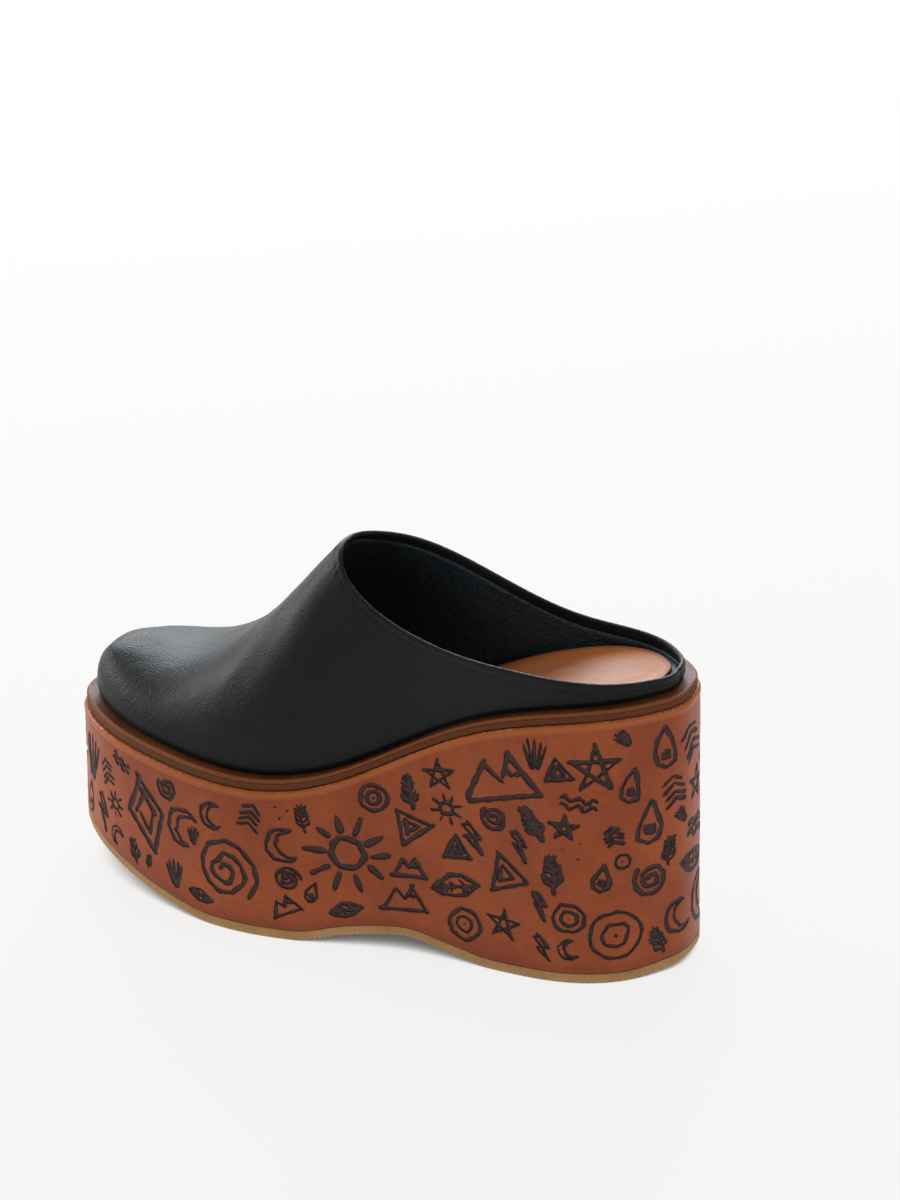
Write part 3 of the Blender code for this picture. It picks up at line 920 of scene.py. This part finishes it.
def build_cover():
    marks = carve()
    share = np.concatenate([np.linspace(0, TOE_RUN, HALF_COLUMNS + 1)[:-1],
                            np.linspace(TOE_RUN, 1, HALF_COLUMNS + 1)[:-1]])
    point, normal = outline_at(share)
    cols = len(share)
    v = np.linspace(0, 1, WALL_ROWS)[:, None]
    inset = -WALL_FLARE * (1 - v)
    xy = point[None] - normal[None] * inset[:, :, None]
    t = station(xy[:, :, 1])
    low = tread_height(t) + OUTSOLE_THICK + GAP
    high = top_height(t) - COVER_ROUND
    z = low * (1 - v) + high * v
    share_grid = np.broadcast_to(share, z.shape)
    cut = marks.read(share_grid, z * 1000)
    under = (top_height(t) - z) * 1000
    above = (z - low) * 1000
    spot = np.stack([share_grid * PERIMETER * 1000, z * 1000], 2)
    push = -CUT_DEPTH_MM * smooth(0.10, -0.45, cut) + 0.05 * hump(cut - 0.35, 0.25)
    push += 0.20 * smooth(3.3, 2.6, under)                    # folded band stands proud
    push -= 0.10 * hump(under - 3.5, 0.5)
    push += 0.07 * ripple(spot, 42, 3) + 0.02 * ripple(spot, 9, 4)
    push -= 0.25 * smooth(0.7, 0.0, above)
    wall = np.concatenate([xy + normal[None] * (push / 1000)[:, :, None], z[:, :, None]], 2)

    rows, cuts, unders, aboves = [wall], [cut], [under], [above]
    rough = 0.10 * ripple(np.stack([share * PERIMETER * 1000, np.zeros(cols)], 1), 1.3, 8) \
        + 0.08 * ripple(np.stack([share * PERIMETER * 1000, np.zeros(cols)], 1), 4.0, 9)
    for a in (20, 42, 64, 80, 90):
        a = math.radians(a)
        off = COVER_ROUND * (1 - math.cos(a)) - 0.00020
        p = point - normal * off
        tt = station(p[:, 1])
        lift = top_height(tt) - COVER_ROUND * (1 - math.sin(a)) + rough * 0.001 * math.sin(a) * 0.8
        lift = np.minimum(lift, top_height(tt) + 0.00008)
        rows.append(np.column_stack([p, lift])[None])
        cuts.append(np.full((1, cols), REACH_MM))
        unders.append(np.maximum((top_height(tt) - lift) * 1000, 0)[None])
        aboves.append(np.full((1, cols), 50.0))
    for off, at in ((0.0030, "top"), (0.0070, "top"), (0.0070, "half"), (0.0070, "low"),
                    (0.0025, "low")):
        p = point - normal * off
        tt = station(p[:, 1])
        hi, lo = top_height(tt) - 0.00002, tread_height(tt) + OUTSOLE_THICK + GAP
        lift = {"top": hi, "half": (hi + lo) / 2, "low": lo}[at]
        rows.append(np.column_stack([p, lift])[None])
        cuts.append(np.full((1, cols), REACH_MM))
        unders.append(np.full((1, cols), 2.0))
        aboves.append(np.full((1, cols), 50.0))
    grid = np.concatenate(rows, 0)
    cuts, unders, aboves = (np.concatenate(x, 0) for x in (cuts, unders, aboves))
    normals = grid_normals(grid, True)
    if normals[10, HALF_COLUMNS // 2, 0] < 0:
        normals = -normals
    for name, first, last in (("Wedge_Cover_Lateral", 0, HALF_COLUMNS),
                              ("Wedge_Cover_Medial", HALF_COLUMNS, cols)):
        pick = np.arange(first, last + 1) % cols
        part = place(grid[:, pick])
        n_rows, n_cols = part.shape[:2]
        faces = tube_faces(n_rows, n_cols, close_rows=True, close_cols=False)
        faces.append(tuple(i * n_cols for i in range(n_rows)))
        faces.append(tuple(i * n_cols + n_cols - 1 for i in reversed(range(n_rows))))
        obj = piece(name, part.reshape(-1, 3), faces, [COVER],
                    normals=normals[:, pick].reshape(-1, 3),
                    attributes={"cut": cuts[:, pick].ravel(), "under": unders[:, pick].ravel(),
                                "above": aboves[:, pick].ravel()})
        settle(obj, "brown_leather_cover", "Wedge_Platform")


# ================================================================ midsole
MID_STATIONS = 400


def build_midsole():
    # inset and height over the wedge's upper edge, in mm at unit thickness 4.5; lip, face
    profile = [
        (0.45, 0.02, 0, 0), (0.10, 0.12, 0, 0), (0.00, 0.35, 0, 0), (0.02, 0.75, 0, 0),
        (0.00, 1.15, 0, 0), (0.03, 1.55, 0, 0), (0.01, 1.95, 0, 0), (0.03, 2.35, 0, 0),
        (0.04, 2.70, 0, 0), (0.16, 2.92, 0, 0), (0.30, 3.06, 0, 0), (0.16, 3.20, 0.4, 0),
        (0.02, 3.38, 1, 0), (0.00, 3.65, 1, 0), (0.06, 3.95, 1, 0), (0.20, 4.22, 1, 0),
        (0.45, 4.42, 1, 0.2), (0.80, 4.50, 1, 0.5), (1.25, 4.46, 0.6, 1), (1.75, 4.34, 0.1, 1),
        (2.40, 4.24, 0, 1), (3.40, 4.22, 0, 1), (4.60, 4.26, 0, 1), (6.00, 4.40, 0, 1),
    ]
    verts, run, lift, lip, face = [], [], [], [], []
    for inset_mm, up_mm, is_lip, is_face in profile:
        plan, share = ring(MID_INSET + inset_mm / 1000, MID_STATIONS)
        t = station(plan[:, 1])
        thick = mid_height(t) - top_height(t) - GAP
        where = np.stack([share * PERIMETER * 1000, np.full(len(share), up_mm)], 1)
        fuzz = 0.0
        if not is_face and 0.2 < up_mm < 2.8:
            fuzz = 0.035 * ripple(where * (1, 6), 3.0, 21) + 0.03 * ripple(where, 0.9, 22)
        _, out = outline_at(share)
        plan = plan + out * (np.asarray(fuzz) / 1000)[..., None] if np.ndim(fuzz) else plan
        verts.append(np.column_stack([plan, top_height(t) + GAP + thick * up_mm / 4.5]))
        run.append(share * PERIMETER * 1000)
        lift.append(np.full(len(share), up_mm))
        lip.append(np.full(len(share), float(is_lip)))
        face.append(np.full(len(share), float(is_face)))
    cols = 2 * MID_STATIONS
    faces = tube_faces(len(profile), cols, close_rows=False)
    for base, flip in ((0, True), ((len(profile) - 1) * cols, False)):
        pairs = [(base + i, base + cols - i) for i in range(1, MID_STATIONS)]
        for (a, b), (c, d) in zip(pairs, pairs[1:]):
            faces.append((a, c, d, b) if flip else (a, b, d, c))
        for tip, (a, b) in ((base, pairs[0]), (base + MID_STATIONS, pairs[-1])):
            turn = (tip == base) != flip
            faces.append((tip, b, a) if turn else (tip, a, b))
    obj = piece("Midsole_Board", place(np.concatenate(verts)), faces, [BOARD], sharp=60,
                attributes={"run": np.concatenate(run), "lift": np.concatenate(lift),
                            "lip": np.concatenate(lip), "face": np.concatenate(face)})
    return settle(obj, "leather_board", "Midsole")


# ================================================================ upper
COLUMNS = 640
OUTER_ROWS = 66
LINING_ROWS = 40


def finer(rows, cols):
    """More points round closed rows, through the same points."""
    n = rows.shape[1]
    spec = np.fft.rfft(rows, axis=1)
    spec[:, -1] *= 0.5
    out = np.zeros((rows.shape[0], cols // 2 + 1, rows.shape[2]), complex)
    out[:, :spec.shape[1]] = spec
    return np.fft.irfft(out, cols, axis=1) * cols / n


def fullness(column, front, lateral):
    def curve(which):
        heel, waist, toe = (row[which] for row in FULLNESS)
        return (heel * (1 - front) * (1 - 2 * front) + waist * 4 * front * (1 - front)
                + toe * front * (2 * front - 1))
    return curve(column) * lateral + curve(column + 1) * (1 - lateral)


def last_surface(steps):
    """Outer face of the upper as rows of points, feather line first, at the given climbs."""
    plan = spread(base_outline(), AROUND)
    feather = plan - outward(plan, 2) * SHELF
    centre = np.array(DOME_CENTRE)
    reach = feather - centre
    climb = np.radians(around_topline(np.arange(AROUND) / AROUND))[None, :]
    turn = climb * np.asarray(steps)[:, None]
    front = station(feather[:, 1])[None, :]
    side = np.clip(0.5 + reach[:, 0] / np.linalg.norm(reach, axis=1), 0, 1)[None, :]
    lateral = side * side * (3 - 2 * side)
    out = np.cos(turn) ** (2 / fullness(1, front, lateral))
    up = np.sin(turn) ** (2 / fullness(3, front, lateral))
    xy = centre + out[:, :, None] * reach[None]
    t = station(xy[:, :, 1])
    z = mid_height(t) + GAP + natural(CROWN, 1, t) * up
    return np.concatenate([xy, z[:, :, None]], 2)


# Soft folds: points (x, y, z) in mm in the frame's coordinates that a fold runs through, its
# width and how far it stands out (+) or sinks in (-).
FOLDS = (
    # ridge down the outer side of the vamp
    (((15, -30.5, 127.5), (19, -35.5, 119.5), (24, -42.5, 109), (28.5, -48.5, 99.5),
      (33, -52.5, 90.5)), 5.5, 0.85),
    # hollow between the toe box and the vamp
    (((-18, -66.5, 96.5), (-9, -67, 97), (5.5, -64.5, 98.5), (13, -65.5, 97), (18.5, -68, 93.5),
      (24, -71, 89.5)), 7.5, -0.55),
)


def fold_push(points_mm):
    """How far the folds move points, in mm."""
    out = np.zeros(points_mm.shape[:-1])
    for line, width, height in FOLDS:
        line = np.array(line, float)
        best = np.full(out.shape, 1e9)
        fade = np.zeros(out.shape)
        run = np.r_[0, np.cumsum(np.linalg.norm(np.diff(line, axis=0), axis=1))]
        for k in range(len(line) - 1):
            a, b = line[k], line[k + 1]
            ab = b - a
            u = np.clip(((points_mm - a) @ ab) / (ab @ ab), 0, 1)
            d = np.linalg.norm(points_mm - a - u[..., None] * ab, axis=-1)
            along = (run[k] + u * (run[k + 1] - run[k])) / run[-1]
            nearer = d < best
            best = np.where(nearer, d, best)
            fade = np.where(nearer, np.sin(math.pi * np.clip(along, 0.02, 0.98)) ** 0.6, fade)
        out += height * fade * hump(best, width)
    return out


def build_upper():
    steps = np.linspace(0, 1, 90) ** 1.35
    base = finer(last_surface(steps), COLUMNS)
    # arc length of every column, measured down from the topline
    seg = np.linalg.norm(np.diff(base, axis=0), axis=2)
    down = np.concatenate([np.cumsum(seg[::-1], 0)[::-1], np.zeros((1, COLUMNS))], 0)
    total = down[0]
    near_top = np.array([0.0, 0.35, 0.7, 1.05, 1.4, 1.75, 2.1, 2.5, 2.9, 3.4, 4.0, 4.8]) / 1000
    squeeze = np.minimum(1.0, total * 0.62 / near_top[-1])
    lower = np.linspace(1, 0, OUTER_ROWS - len(near_top) + 1)[1:][::-1] ** 1.0
    lower = 1 - (1 - lower) ** 1.0
    rows = [near_top[k] * squeeze for k in range(len(near_top))]
    start = rows[-1]
    for u in np.linspace(0, 1, OUTER_ROWS - len(near_top) + 1)[1:]:
        eased = 1 - (1 - u) ** 1.25
        rows.append(start + (total - start) * eased)
    wanted = np.stack(rows[::-1])             # feather first

    def along(field, want):
        out = np.empty(want.shape + (field.shape[2],))
        for j in range(COLUMNS):
            for c in range(field.shape[2]):
                out[:, j, c] = np.interp(-want[:, j], -down[:, j], field[:, j, c])
        return out

    normal = grid_normals(base, True)
    if normal[20, COLUMNS // 4, 0] < 0:
        normal = -normal
    normal[0] = normal[2]
    normal[1] = normal[2]
    for _ in range(6):
        normal = np.roll(normal, 1, 1) + 2 * normal + np.roll(normal, -1, 1)
        normal /= np.linalg.norm(normal, axis=2)[:, :, None]
    both = np.concatenate([base, normal], 2)

    def at(want, offset):
        got = along(both, want)
        direction = got[:, :, 3:] / np.linalg.norm(got[:, :, 3:], axis=2)[:, :, None]
        if np.ndim(offset) == 0:
            offset = np.full(want.shape, offset)
        return got[:, :, :3] - direction * offset[:, :, None], direction

    place_around = np.arange(COLUMNS) / COLUMNS
    surface, direction = at(wanted, 0.0)
    mm = place(surface) * 1000
    w = wanted * 1000
    e = (total[None] - wanted) * 1000
    rim_share = np.broadcast_to(place_around, w.shape)
    round_mm = rim_share * 300
    heel_gap = (rim_share + 0.5) % 1.0 - 0.5           # signed share away from the heel centre
    push = fold_push(mm)
    push += 0.10 * ripple(mm, 26, 31) * smooth(2, 12, w) * smooth(0, 6, e)
    push += 0.022 * ripple(mm, 7, 32) * smooth(1, 6, w)
    # seam line of the turned edge, and the small gathers over it
    push -= 0.16 * hump(w - 2.5, 0.55)
    push += 0.05 * hump(w - 1.0, 0.9)
    gather = ripple(np.stack([round_mm, w * 0.35], 2), 2.6, 33)
    push += 0.055 * gather * hump(w - 2.6, 1.6)
    # the join at the back of the heel
    push -= 0.30 * hump(heel_gap * 540 - 0.4, 0.9) * smooth(0.0, 1.5, e)
    push += 0.20 * smooth(0.0, 1.2, heel_gap * 540 - 0.4) * smooth(11, 3, heel_gap * 540)
    # turned in under at the feather line
    push -= 0.75 * smooth(1.9, 0.0, e)
    outer = surface + direction * (push / 1000)[:, :, None]
    outer[0, :, 2] = mid_height(station(outer[0, :, 1])) - 0.00001

    # turned edge over the topline
    tangent = outer[-1] - outer[-3]
    tangent /= np.linalg.norm(tangent, axis=1)[:, None]
    half = UPPER_WALL / 2
    crest = direction[-1]
    middle = outer[-1] - crest * half
    turned = []
    for a in (18, 40, 62, 84, 106, 128, 150, 168):
        a = math.radians(a)
        turned.append((middle + half * (math.cos(a) * crest + 0.92 * math.sin(a) * tangent))[None])
    # facing down the inside, its cut edge, and the hidden inner face of the leather
    facing_mm = 3.3
    shrink = np.minimum(1.0, total * 1000 * 0.55 / facing_mm)
    inner_gather = ripple(np.stack([np.arange(COLUMNS) * 0.5, np.zeros(COLUMNS)], 1), 2.4, 34)
    facing = []
    for depth, off in ((0.35, 2.02), (0.9, 2.03), (1.5, 2.05), (2.1, 2.08), (2.7, 2.06), (3.1, 1.98),
                       (3.3, 1.80), (3.32, 1.45)):
        want = (depth / 1000 * shrink)[None]
        offset = (off + 0.05 * inner_gather * math.sin(min(depth / 3.3, 1) * math.pi)) / 1000
        facing.append(at(want, np.broadcast_to(offset, want.shape))[0])
    hidden = []
    for u in np.linspace(0.12, 1, 14):
        want = (0.0034 * shrink + (total - 0.0034 * shrink) * u)[None]
        hidden.append(at(want, 0.00118)[0])
    hidden[-1][0, :, 2] = mid_height(station(hidden[-1][0, :, 1])) + 0.00002
    grid = np.concatenate([outer] + turned + facing + hidden, 0)
    n_rows = grid.shape[0]
    obj = piece("Upper_Leather", place(grid).reshape(-1, 3), tube_faces(n_rows, COLUMNS), [NAPPA],
                sharp=70)
    settle(obj, "black_leather", "Upper")

    # lining: its padded upper edge tucks behind the facing
    lining = []
    heads = [(3.28, 1.36), (3.40, 1.62), (3.48, 1.95), (3.75, 2.18), (4.2, 2.34), (4.9, 2.42),
             (5.8, 2.36), (7.0, 2.20)]
    for depth, off in heads:
        want = (depth / 1000 * shrink)[None]
        offset = (off + 0.07 * inner_gather * smooth(3.4, 4.2, depth) * smooth(9, 4.5, depth)) / 1000
        lining.append(at(want, np.broadcast_to(np.asarray(offset), want.shape))[0])
    for u in np.linspace(0, 1, LINING_ROWS)[1:]:
        want = (0.0070 * shrink + (total - 0.0070 * shrink) * u)[None]
        inner, _ = at(want, 0.0)
        wobble = 0.05 * ripple(place(inner) * 1000, 14, 35) + 0.02 * ripple(place(inner) * 1000, 5, 36)
        offset = (2.20 - 0.20 * smooth(0, 0.2, u) + wobble * smooth(0, 0.15, u)) / 1000
        lining.append(at(want, offset)[0])
    lining[-1][0, :, 2] = mid_height(station(lining[-1][0, :, 1])) + 0.00002
    for u in np.linspace(1, 0.02, 16):
        want = (0.0034 * shrink + (total - 0.0034 * shrink) * u)[None]
        lining.append(at(want, 0.00128)[0])
    lining[len(heads) + LINING_ROWS - 1][0, :, 2] = mid_height(
        station(lining[len(heads) + LINING_ROWS - 1][0, :, 1])) + 0.00002
    grid = np.concatenate(lining, 0)
    obj = piece("Upper_Lining", place(grid).reshape(-1, 3),
                tube_faces(grid.shape[0], COLUMNS), [LINING], sharp=70)
    settle(obj, "black_leather")


# ================================================================ footbed and sock
def bed_height(t, edge_mm):
    """Upper face of the footbed: a shallow dish whose border rises towards its edge."""
    rise = (1 - np.clip(edge_mm / 17.0, 0, 1)) ** 2.2
    return mid_height(t) + GAP + FOOTBED_BASE + FOOTBED_LIP * rise


def edge_distance(points, loop):
    """Distance of plan points to a closed loop, in mm."""
    out = np.empty(len(points))
    for k in range(0, len(points), 400):
        d = points[k:k + 400, None] - loop[None]
        out[k:k + 400] = np.sqrt((d ** 2).sum(2)).min(1)
    return out * 1000


def pad(name, rows, stations, across, height, mats, sharp, edge=None):
    """Closed slab: rows are (inset, height function) from the lower edge up; the faces above and
    below are filled with points whose heights follow height(plan, edge_mm, upper)."""
    verts, faces = [], []
    cols = 2 * stations
    for inset, lift in rows:
        plan, _ = ring(inset, stations)
        verts.append(np.column_stack([plan, lift(plan)]))
    faces += tube_faces(len(rows), cols, close_rows=False)
    count = len(rows) * cols
    rim = ring(rows[-1][0], stations)[0]
    rims = [0.0] * count
    for base, upper in ((0, False), ((len(rows) - 1) * cols, True)):
        source = verts[len(rows) - 1] if upper else verts[0]
        a, b = source[1:stations], source[::-1][:stations - 1]
        inner = []
        for f in across:
            p = a[:, :2] * (1 - f) + b[:, :2] * f
            d = edge_distance(p, rim)
            inner.append((np.column_stack([p, height(p, d, upper)]), d))
        start = count
        for block, d in inner:
            verts.append(block)
            rims += list(d) if upper else [0.0] * len(d)
            count += len(block)
        n = stations - 1
        lines = [[base + i + 1] + [start + k * n + i for k in range(len(across))]
                 + [base + cols - (i + 1)] for i in range(n)]
        for one, two in zip(lines, lines[1:]):
            for k in range(len(one) - 1):
                quad = (one[k], one[k + 1], two[k + 1], two[k])
                faces.append(quad if upper else quad[::-1])
        for tip, line, turn in ((base, lines[0], False), (base + stations, lines[-1], True)):
            for k in range(len(line) - 1):
                tri = (tip, line[k + 1], line[k]) if not turn else (tip, line[k], line[k + 1])
                faces.append(tri if upper else tri[::-1])
    return piece(name, place(np.concatenate(verts)), faces, mats, sharp=sharp,
                 attributes={"rim": rims})


def even(first, last, count):
    return (first + (last - first) * (1 - np.cos(np.linspace(0, math.pi, count + 2)[1:-1])) / 2)


def build_footbed():
    stations = 220
    rim = ring(FOOTBED_INSET, 400)[0]

    def top(plan, lower=0.0):
        return bed_height(station(plan[:, 1]), edge_distance(plan, rim)) - lower

    rows = (
        (FOOTBED_INSET + 0.0002, lambda p: mid_height(station(p[:, 1])) + GAP),
        (FOOTBED_INSET, lambda p: mid_height(station(p[:, 1])) + GAP + 0.0003),
        (FOOTBED_INSET, lambda p: top(p, 0.0006)),
        (FOOTBED_INSET + 0.0002, lambda p: top(p, 0.0002)),
        (FOOTBED_INSET + 0.0006, lambda p: top(p)),
        (FOOTBED_INSET + 0.0012, lambda p: top(p)),
        (FOOTBED_INSET + 0.0020, lambda p: top(p)),
    )

    def height(p, d, upper):
        t = station(p[:, 1])
        return bed_height(t, d + 2.0) if upper else mid_height(t) + GAP
    obj = pad("Footbed_Band", rows, stations, even(0, 1, 9), height, [LINING], 60)
    return settle(obj, "black_lining", "Footbed")


def sock_rows(inset):
    rim = ring(FOOTBED_INSET, 400)[0]

    def bed(plan):
        return bed_height(station(plan[:, 1]), edge_distance(plan, rim)) + GAP

    return (
        (inset + 0.00015, lambda p: bed(p)),
        (inset, lambda p: bed(p) + 0.00020),
        (inset, lambda p: bed(p) + 0.00055),
        (inset + 0.00008, lambda p: bed(p) + 0.00085),
        (inset + 0.00030, lambda p: bed(p) + 0.00110),
        (inset + 0.00065, lambda p: bed(p) + 0.00124),
        (inset + 0.00120, lambda p: bed(p) + SOCK_THICK),
    )


def build_sock():
    stations = 260
    rim = ring(FOOTBED_INSET, 400)[0]

    def height(p, d, upper):
        t = station(p[:, 1])
        base = bed_height(t, edge_distance(p, rim)) + GAP
        if not upper:
            return base
        mm = np.column_stack([p * 1000, np.zeros(len(p))])
        soft = 0.05 * ripple(mm, 22, 51) + 0.015 * ripple(mm, 7, 52)
        puff = 0.28 * smooth(0, 7, d) - 0.10 * hump(d - 4.5, 1.6)
        return base + SOCK_THICK + (puff + soft * smooth(0, 4, d)) / 1000
    obj = pad("Sock_Pad", sock_rows(SOCK_INSET + 0.0004), stations, even(0, 1, 34), height, [TAN], 60)
    return settle(obj, "tan_leather", "Sock")


# ================================================================ build
build_outsole()
build_cover()
build_midsole()
build_upper()
build_footbed()
build_sock()


# ================================================================ floor, light and camera
def build_stage():
    mat = bpy.data.materials.new("Pale_Floor")
    mat.use_nodes = True
    tree = mat.node_tree
    shader = tree.nodes["Principled BSDF"]
    shader.inputs["Base Color"].default_value = (0.10, 0.0995, 0.099, 1.0)
    shader.inputs["Roughness"].default_value = 0.9
    shader.inputs["Specular IOR Level"].default_value = 0.0
    shader.inputs["Emission Color"].default_value = (0.94, 0.93, 0.915, 1.0)
    # the floor's own glow dims only where the sole all but touches it
    gap = tree.nodes.new("ShaderNodeAmbientOcclusion")
    gap.inputs["Distance"].default_value = 0.05
    gap.samples = 16
    open_sky = tree.nodes.new("ShaderNodeMapRange")
    open_sky.interpolation_type = "SMOOTHSTEP"
    tree.links.new(gap.outputs["AO"], open_sky.inputs["Value"])
    open_sky.inputs["From Min"].default_value = 0.05
    open_sky.inputs["From Max"].default_value = 0.50
    open_sky.inputs["To Min"].default_value = 0.10
    open_sky.inputs["To Max"].default_value = 0.895
    tree.links.new(open_sky.outputs["Result"], shader.inputs["Emission Strength"])
    mesh = bpy.data.meshes.new("Floor")
    size = 9.0
    mesh.from_pydata([(-size, -size, 0), (size, -size, 0), (size, size, 0), (-size, size, 0)], [],
                     [(0, 1, 2, 3)])
    mesh.materials.append(mat)
    floor = bpy.data.objects.new("Floor", mesh)
    bpy.context.scene.collection.objects.link(floor)
    floor.location.z = -0.00005

    world = bpy.data.worlds.new("Studio")
    bpy.context.scene.world = world
    world.use_nodes = True
    tree = world.node_tree
    back = tree.nodes["Background"]
    back.inputs["Color"].default_value = (0.93, 0.95, 1.0, 1.0)
    back.inputs["Strength"].default_value = 0.16


def area_light(name, at, aim, size, power, colour=(1, 1, 1), tall=None):
    data = bpy.data.lights.new(name, "AREA")
    data.shape = "RECTANGLE"
    data.size, data.size_y = size, tall or size
    data.energy = power
    data.color = colour
    obj = bpy.data.objects.new(name, data)
    bpy.context.scene.collection.objects.link(obj)
    obj.location = at
    direction = Vector(aim) - Vector(at)
    obj.rotation_mode = "QUATERNION"
    obj.rotation_quaternion = direction.to_track_quat("-Z", "Y")
    return obj


build_stage()
area_light("Overhead", (-0.5, -0.2, 2.6), (0, 0, 0.05), 1.9, 23, (0.96, 0.98, 1.0))
area_light("Back", (-1.9, -0.85, 1.0), (0, -0.08, 0.09), 2.0, 55, (0.91, 0.97, 1.0), 1.1)
area_light("Toe", (-0.3, -2.2, 0.66), (0, -0.05, 0.10), 1.2, 25, (0.95, 0.98, 1.0), 0.8)
area_light("Side", (0.9, -2.4, 1.3), (0, -0.02, 0.06), 1.3, 6, (1.0, 0.99, 0.98))
area_light("Front", (2.3, -0.9, 0.9), (0, 0.02, 0.10), 1.2, 4.5, (0.96, 0.99, 1.0), 1.0)
area_light("Heel", (0.2, 2.2, 1.3), (0, 0.05, 0.08), 1.2, 11, (1.0, 0.99, 0.98))

CAMERA_AT = (1.02742, 0.49334, 0.65113)
CAMERA_AZIMUTH, CAMERA_ELEVATION, CAMERA_ROLL = 114.2398, 24.7207, -0.9633
CAMERA_LENS = 98.981

camera_data = bpy.data.cameras.new("Camera")
camera_data.sensor_width = 36.0
camera_data.lens = CAMERA_LENS
camera_data.clip_start, camera_data.clip_end = 0.05, 60
camera = bpy.data.objects.new("Camera", camera_data)
bpy.context.scene.collection.objects.link(camera)
turn, rise, roll = (math.radians(x) for x in (CAMERA_AZIMUTH, CAMERA_ELEVATION, CAMERA_ROLL))
back = Vector((math.sin(turn) * math.cos(rise), -math.cos(turn) * math.cos(rise), math.sin(rise)))
right = Vector((0, 0, 1)).cross(back).normalized()
up = back.cross(right)
cam_right = math.cos(roll) * right + math.sin(roll) * up
cam_up = -math.sin(roll) * right + math.cos(roll) * up
camera.matrix_world = Matrix((
    (cam_right.x, cam_up.x, back.x, CAMERA_AT[0]),
    (cam_right.y, cam_up.y, back.y, CAMERA_AT[1]),
    (cam_right.z, cam_up.z, back.z, CAMERA_AT[2]),
    (0, 0, 0, 1),
))
bpy.context.scene.camera = camera
bpy.context.scene.view_settings.view_transform = "Standard"
